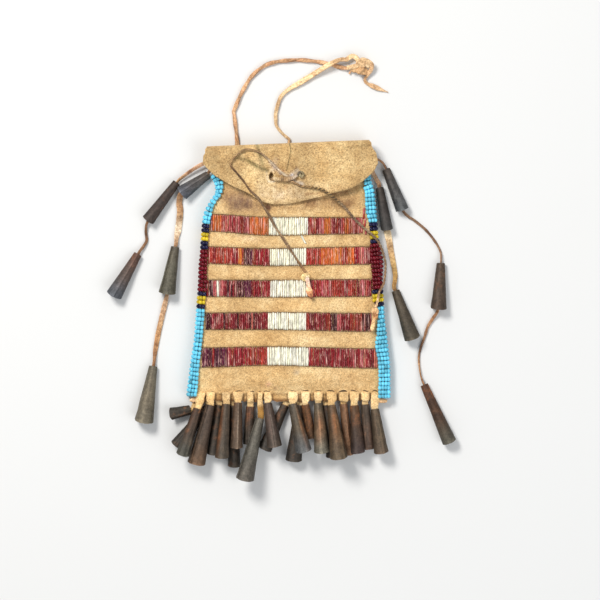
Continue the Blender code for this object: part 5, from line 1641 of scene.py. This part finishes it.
def make_side_cones(number, name, route, cones):
    made = []
    for index, (mouth_at, end_at, share) in enumerate(cones):
        mouth, end = Vector(route[mouth_at]), Vector(route[end_at])
        mouth.z = end.z = SIDE_CONE_Z
        if (name, index) in SIDE_SHIFTS:
            mouth_shift, end_shift = SIDE_SHIFTS[name, index]
            mouth, end = mouth + mouth_shift, end + end_shift
        length = (end - mouth).length + (LAST_CONE_REACH if end_at == len(route) - 1 else 0.0)
        wide = CONE_WIDE * share
        heading = math.atan2(end.y - mouth.y, end.x - mouth.x)
        tilt = math.atan2(wide - CONE_MOUTH, length)
        look = (*SIDE_LOOKS[name][index], 0.7 + 0.8 * index + number, SIDE_PATCHES.get((name, index), ()))
        made.append(rolled_cone(
            f"{name}_tin_{index + 1}", mouth, heading, tilt, length, CONE_MOUTH * 0.99, wide * 0.99,
            f"{name}_tassel", f"{name}_cone_{index + 1}", look, 120 + 10 * number + index))
    return made


def make_tassel(number, name, route, cones):
    """A side thong with its cones. The inner thongs lie flat, the outer ones are twisted."""
    made = make_side_cones(number, name, route, cones)
    widths = [(at, width / SIDE_WIDTH) for at, width, _ in SIDE_BANDS[name]]
    paints = [(at, *towards(colour, THONG_BASE)) for at, _, colour in SIDE_BANDS[name]]

    def shape(t):
        return smooth_value(widths, t, 1), 1.12 - 0.12 * smooth_value(widths, t, 1)

    def stain_and_glint(t, a, s):
        stain = 0.94 + 0.22 * noise.noise(Vector((t * 22, number * 5, 1)))
        # Painted highlight: the strip's edges are painted lighter and its broad faces darker
        glint = 1.12 if math.cos(a * 2) > 0.4 else 0.9
        return tuple(s * stain * glint * smooth_value(paints, t, k) for k in (1, 2, 3))

    twist, roll, wobble = (0.0, 0.12, 0.03) if name.endswith("inner") else (0.09, 0.4 * number, 0.1)
    obj, line = ribbon(f"{name}_strip", route, SIDE_WIDTH, SIDE_THICK, THONG_LOOK, f"{name}_tassel",
                       (f"{name}_thong",), twist=twist, roll=roll, wobble=wobble, shape=shape, seed=number + 3.0,
                       tone=stain_and_glint)
    declare_cord(obj, route, line)


for tassel_number, tassel in enumerate(TASSELS):
    make_tassel(tassel_number, *tassel)


# Neck thong

NECK_LACE = (
    (-26.4, 64.05, 1.05), (-26.4, 60.0, 1.05), (-26.4, 58.7, 1.05), (-26.4, 57.85, 1.4),
    (-26.4, 57.5, 2.25), (-26.4, 57.5, 4.1), (-26.05, 57.5, 5.0), (-25.2, 57.55, 5.4),
    (-23.0, 57.65, 5.45), (-13.0, 58.05, 5.45), (-4.0, 58.4, 5.45), (-1.75, 58.5, 5.4),
    (-0.9, 58.55, 5.0), (-0.55, 58.55, 4.1), (-0.55, 58.55, 2.25), (-0.55, 58.9, 1.4),
    (-0.55, 59.75, 1.05), (-0.55, 61.0, 1.05), (-0.55, 64.05, 1.05),
)
NECK_LEFT = (
    (-26.4, 64.35, 1.05), (-27.1, 71.0, 1.05), (-27.9, 77.4, 1.05), (-28.1, 79.0, 1.05),
    (-27.6, 80.6, 1.05), (-24.7, 87.4, 1.05), (-20.1, 95.5, 1.05), (-14.9, 100.6, 1.05),
    (-9.2, 103.5, 1.05), (-1.7, 104.6, 1.05), (5.2, 104.9, 1.05), (13.8, 104.1, 1.05),
    (19.6, 102.9, 1.05), (24.8, 101.3, 1.2), (28.4, 100.8, 1.7),
)
NECK_RIGHT = (
    (-0.55, 64.35, 1.05), (-0.6, 65.5, 1.05), (-3.6, 68.0, 1.05), (-6.6, 71.8, 1.05),
    (-7.1, 75.5, 1.05), (-6.9, 79.4, 1.05), (-4.6, 86.4, 1.05), (-0.4, 90.4, 1.05),
    (5.2, 93.7, 1.05), (11.5, 97.6, 1.3), (16.6, 100.7, 2.7), (20.5, 102.9, 3.6),
    (25.0, 104.9, 3.0), (28.3, 105.0, 2.3),
)
NECK_KNOT = (
    ((28.0, 104.9, 2.3), (31.0, 106.7, 2.6), (33.2, 105.7, 2.9), (34.1, 103.6, 3.3), (33.2, 101.9, 3.7),
     (31.0, 101.3, 3.3), (28.6, 101.0, 2.0)),
    ((30.6, 101.2, 2.0), (32.4, 100.4, 2.6), (35.2, 99.6, 3.0), (37.6, 98.9, 2.6), (38.4, 98.4, 1.7)),
    ((34.0, 101.6, 3.0), (35.6, 103.2, 4.2), (37.6, 103.4, 4.6), (39.4, 102.6, 4.0), (40.0, 101.4, 2.6)),
    ((35.4, 105.0, 3.6), (37.6, 104.6, 4.6), (40.4, 103.1, 4.4), (40.9, 101.4, 3.4), (40.1, 99.2, 2.4),
     (38.4, 97.0, 1.6), (37.4, 94.9, 1.0), (38.6, 93.2, 0.9), (41.6, 91.8, 0.9), (45.6, 90.1, 0.8),
     (49.1, 88.8, 0.6)),
    ((31.8, 100.2, 1.8), (30.4, 99.2, 1.3), (29.5, 98.0, 0.9)),
)
# The lace's ends run on inside the two strands, so that no gap opens where they lift
LACE_ENDS = (-26.55, 65.6, 1.05), (-0.65, 65.6, 1.05)


def taper(t):
    return (0.6 + 0.4 * ease(min(t, 1 - t) / 0.032),) * 2


def widening(t):
    """The right strand's width and thickness: a thin start, broad where it nears the knot."""
    start, middle, end = ease((t - 0.12) / 0.12), ease((t - 0.45) / 0.15), ease((t - 0.85) / 0.15)
    return 0.62 + 0.22 * start + 0.46 * middle - 0.15 * end, 1.0


def bulging(t):
    return 0.55 + 0.55 * math.sin(math.pi * min(1.0, 0.12 + 0.8 * t)), 0.6 + 0.4 * math.sin(math.pi * t)


def whip(t):
    """The loose end's width and thickness: a waist, a broad stretch and a point."""
    waist, broad, point = ease((t - 0.3) / 0.2), ease((t - 0.6) / 0.12), ease((t - 0.78) / 0.22)
    return 0.85 - 0.2 * waist + 0.4 * broad - 0.9 * point, 1.0 - 0.4 * ease((t - 0.8) / 0.2)


def wrapped(t, a, s):
    """A dark edge that winds round a twisted strand, with stains."""
    line = 0.7 if math.cos(a) > 0.88 else 1.0
    stain = 0.85 if noise.noise(Vector((t * 50, a, 3))) > 0.25 else 1.0
    return (s * line * 1.18, s * line * stain * 1.12, s * line * stain * 1.16)


def folded(t, a, s):
    """Painted shade in creases across a knot."""
    dark = 0.58 if math.sin(11 * t + 1.6 * math.cos(a)) > 0.72 else 1.0
    return (s * dark * 1.06, s * dark, s * dark * 0.94)


def creamy(start, end, tint=(0.98, 1.08, 1.18)):
    """Pale hide, from one brightness to another, with darker edges."""
    def tone(t, a, s):
        glow = start + (end - start) * ease((t - 0.25) / 0.3)
        edge = 0.75 if abs(math.cos(a)) > 0.9 else 1.0
        return tuple(s * glow * edge * c for c in tint)

    return tone


def make_neck_knot():
    loop, low, high, tail, spur = NECK_KNOT
    return joined("neck_tie_knot", [
        strip(loop, 2.4, 1.1, seed=12.0, tone=creamy(1.45, 1.4), square=0.6, step=0.4),
        strip(low, 4.1, 2.3, shape=bulging, seed=13.0, tone=folded, square=0.5, step=0.4, wobble=0.2, roll=0.15),
        strip(high, 4.2, 2.0, shape=bulging, seed=14.0, tone=creamy(1.5, 1.36), square=0.3, step=0.4, wobble=0.2,
              roll=-0.2),
        strip(tail, 2.4, 1.0, shape=whip, seed=15.0, tone=creamy(1.3, 1.08, (1.0, 1.0, 1.06)), square=0.6,
              step=0.4, twist=0.02),
        strip(spur, 0.9, 0.6, seed=16.0, tone=wrapped, step=0.4),
    ], THONG_LOOK, "neck_loop", ("neck_knot",))


def make_neck():
    lace = (LACE_ENDS[0], *NECK_LACE, LACE_ENDS[1])
    ribbon("neck_lace", lace, 2.2, 1.5, THONG_LOOK, "pouch", ("neck_lacing",), twist=0.05, seed=2.0, step=0.5,
           shape=taper)
    left, left_line = ribbon("neck_left", NECK_LEFT, 2.15, 1.7, THONG_LOOK, "neck_loop", ("neck_strand_left",),
                             twist=0.55, seed=5.0, tone=wrapped, wobble=0.05, square=0.95, sides=16)
    right, right_line = ribbon("neck_right", NECK_RIGHT, 2.3, 1.1, THONG_LOOK, "neck_loop",
                               ("neck_strand_right",), twist=0.02, seed=8.0, shape=widening,
                               tone=creamy(1.14, 1.6), square=0.6)
    knot = make_neck_knot()
    declare_cord(left, NECK_LEFT, left_line)
    declare_cord(right, NECK_RIGHT, right_line)


make_neck()


# Ties on the flap

TIE_LEFT = (
    (-0.6, 45.9, 12.0), (-2.2, 46.8, 12.1), (-4.7, 48.7, 12.2), (-7.2, 51.2, 12.25), (-9.6, 53.6, 12.3),
    (-12.1, 56.0, 12.3), (-14.7, 57.9, 12.3), (-17.7, 59.2, 12.3), (-20.8, 59.7, 12.3), (-23.4, 59.1, 12.3),
    (-25.5, 57.6, 12.25), (-27.4, 55.7, 12.2), (-29.2, 53.6, 12.0), (-29.5, 51.9, 11.9), (-28.4, 50.4, 11.9),
    (-26.2, 47.8, 11.85), (-22.9, 43.8, 11.8), (-19.9, 39.5, 11.85), (-15.6, 35.3, 11.9), (-11.0, 28.1, 11.5),
    (-7.1, 21.0, 11.3), (-3.4, 15.5, 11.5), (-0.2, 10.6, 11.8), (3.0, 5.7, 11.7), (6.0, 1.2, 11.0),
)
TIE_RIGHT = (
    (-9.4, 45.1, 9.9), (-9.4, 45.1, 11.2), (-9.2, 44.95, 11.75), (-8.75, 44.75, 12.05), (-7.4, 44.5, 12.1),
    (-4.0, 44.4, 12.1), (0.8, 43.8, 12.05), (5.8, 41.5, 12.0), (9.6, 41.0, 12.0), (15.3, 39.9, 12.0),
    (18.0, 38.4, 11.95), (20.3, 36.9, 11.55), (22.1, 35.5, 10.7), (24.4, 33.6, 9.6), (26.5, 31.8, 9.05),
    (31.9, 25.5, 8.75), (36.7, 21.0, 8.2), (40.8, 17.5, 8.15), (44.7, 12.7, 7.9), (47.2, 5.4, 6.6),
    (47.6, 0.6, 6.4), (46.9, -5.8, 7.6), (45.9, -8.3, 8.05), (44.3, -11.5, 8.1), (43.7, -15.0, 8.1),
    (42.8, -18.3, 8.1),
)
LEFT_KNOT = (
    (6.0, 1.1, 11.0), (6.9, -0.2, 11.3), (8.0, -1.3, 11.5), (8.7, -2.7, 11.4), (8.5, -4.2, 11.1),
    (7.3, -4.7, 10.9), (6.6, -3.7, 11.1), (7.2, -2.9, 11.6), (8.3, -3.6, 11.7), (8.7, -5.2, 11.3),
    (9.2, -8.0, 11.0), (9.7, -10.9, 11.0), (10.4, -13.0, 11.0), (10.5, -14.4, 10.9),
)
RIGHT_KNOT = (
    (42.7, -18.5, 8.2), (42.1, -19.4, 8.7), (41.3, -20.6, 8.8), (42.2, -21.6, 8.4), (43.3, -20.9, 8.4),
    (42.7, -19.7, 9.1), (41.8, -20.9, 9.2), (42.0, -22.4, 8.9), (42.9, -22.8, 8.7), (42.2, -23.6, 8.6),
    (41.7, -25.0, 8.3), (41.2, -27.8, 8.3), (40.6, -30.2, 8.3),
)
# The rolled end of hide in the right hole, and the strap that crosses between the two holes
ROLLED_END = (
    (4.3, 47.2, 10.2), (4.1, 47.3, 11.4), (4.5, 48.2, 11.9), (5.6, 48.5, 12.0), (6.5, 47.9, 12.1),
    (6.5, 46.8, 12.1), (5.6, 46.2, 12.2), (4.9, 46.9, 12.35), (5.5, 47.6, 12.45),
)
CROSSING = (
    (-8.5, 45.2, 10.2), (-8.3, 45.2, 11.4), (-7.7, 45.1, 12.2), (-6.2, 44.9, 12.8), (-3.6, 44.9, 13.0),
    (-0.8, 45.1, 12.9), (1.2, 45.6, 12.6), (2.6, 46.4, 12.2), (3.4, 46.9, 11.5), (3.7, 47.1, 10.4),
)
# Along the crossing strap, as shares of its length: its colour
CROSSING_BANDS = (
    (0.0, (204, 178, 138)), (0.3, (184, 154, 112)), (0.5, (156, 122, 82)), (0.66, (168, 138, 104)),
    (0.8, (206, 184, 158)), (1.0, (196, 172, 144)),
)
# Along each tie and its knotted end, as shares of their length: width in millimetres, colour, and how strong the
# painted highlight on the broad sides is
TIE_BANDS = {
    "left_tie": (
        (0.0, 1.4, (196, 172, 138), 0.2), (0.08, 1.25, (192, 170, 144), 0.2), (0.15, 1.1, (164, 138, 104), 0.3),
        (0.2, 1.05, (134, 106, 72), 0.45), (0.34, 1.0, (130, 100, 64), 0.4), (0.4, 0.9, (98, 68, 40), 0.3),
        (0.53, 0.95, (96, 68, 42), 0.3), (0.6, 1.4, (112, 88, 62), 0.35), (0.8, 1.45, (118, 92, 66), 0.4),
        (1.0, 1.4, (134, 100, 66), 0.3),
    ),
    "right_tie": (
        (0.0, 0.8, (150, 118, 86), 0.2), (0.04, 1.0, (170, 136, 96), 0.2), (0.13, 1.2, (170, 136, 96), 0.2),
        (0.2, 1.0, (140, 110, 70), 0.5), (0.24, 1.5, (92, 72, 42), 2.6), (0.37, 1.6, (104, 82, 52), 2.2),
        (0.42, 1.6, (120, 96, 70), 0.4), (0.55, 1.45, (124, 100, 76), 0.4), (0.7, 1.3, (120, 94, 68), 0.4),
        (0.85, 1.2, (130, 98, 68), 0.4), (1.0, 1.5, (196, 158, 118), 0.4),
    ),
    "left_tie_end": (
        (0.0, 1.2, (140, 98, 58), 0.2), (0.12, 1.3, (170, 128, 84), 0.2), (0.22, 2.0, (238, 208, 146), 0.2),
        (0.46, 2.3, (240, 212, 150), 0.2), (0.54, 1.9, (232, 200, 176), 0.2), (0.7, 2.2, (228, 184, 150), 0.2),
        (0.84, 3.2, (206, 142, 96), 0.2), (0.93, 2.3, (184, 120, 78), 0.2), (1.0, 1.2, (120, 78, 50), 0.1),
    ),
    "right_tie_end": (
        (0.0, 1.4, (214, 176, 136), 0.2), (0.15, 1.8, (244, 200, 150), 0.2), (0.42, 1.9, (240, 190, 134), 0.2),
        (0.5, 1.5, (178, 122, 78), 0.2), (0.62, 2.3, (196, 136, 84), 0.2), (0.7, 1.6, (220, 176, 124), 0.2),
        (0.88, 2.2, (228, 188, 134), 0.2), (1.0, 1.2, (206, 164, 116), 0.2),
    ),
}
# A tie's usual width and thickness
TIE_WIDTH, TIE_THICK = 1.2, 0.9


def tie_strip(name, route, node, twist, seed, **words):
    widths = [(at, width / TIE_WIDTH) for at, width, _, _ in TIE_BANDS[name]]
    paints = [(at, *towards(colour, TIE_BASE), pale) for at, _, colour, pale in TIE_BANDS[name]]

    def tone(t, a, s):
        # Painted highlight on the sides, as strong as the table's last column says
        side = 1 + smooth_value(paints, t, 4) * (0.5 + 0.5 * math.cos(2 * a)) ** 2 * 1.2
        stain = 0.95 + 0.3 * noise.noise(Vector((t * 40, seed, 2)))
        return tuple(s * side * stain * smooth_value(paints, t, k) for k in (1, 2, 3))

    def shape(t):
        return smooth_value(widths, t, 1), 1.0

    return ribbon(name, route, TIE_WIDTH, TIE_THICK, TIE_LOOK, "flap", (node,), "dark_thong", twist=twist,
                  seed=seed, shape=shape, tone=tone, **words)


def make_tie(name, route, knot_route, node, twist):
    knot, _ = tie_strip(f"{name}_end", knot_route, f"{node}_knot", 0.0, 4.0, step=0.3, wobble=0.12)
    obj, line = tie_strip(name, route, node, twist, 6.0, step=0.35)
    declare_cord(obj, route, line)


def make_rolled_end():
    def tone(t, a, s):
        return tuple(c * s for c in towards((150, 134, 98) if t > 0.35 else (96, 84, 70), TIE_BASE))

    ribbon("rolled_end", ROLLED_END, 1.15, 1.1, TIE_LOOK, "flap", ("tie_roll",), "dark_thong", seed=9.0,
           tone=tone, step=0.25)


def make_crossing():
    paints = [(at, *towards(colour, TIE_BASE)) for at, colour in CROSSING_BANDS]

    def dusty(t, a, s):
        stripe = 1 + 0.3 * math.cos(t * 90) * (1 - abs(2 * t - 1))
        edge = 1 - 0.25 * abs(math.cos(a)) ** 4
        return tuple(s * stripe * edge * smooth_value(paints, t, k) for k in (1, 2, 3))

    def shape(t):
        return 0.9 + 0.35 * math.exp(-((t - 0.55) / 0.2) ** 2), 1.0

    ribbon("tie_crossing", CROSSING, 1.9, 0.8, TIE_LOOK, "flap", (), "dark_thong", twist=0.03, seed=17.0,
           tone=dusty, shape=shape, step=0.3)


make_tie("left_tie", TIE_LEFT, LEFT_KNOT, "tie_left", 0.35)
make_tie("right_tie", TIE_RIGHT, RIGHT_KNOT, "tie_right", 2.6)
make_rolled_end()
make_crossing()
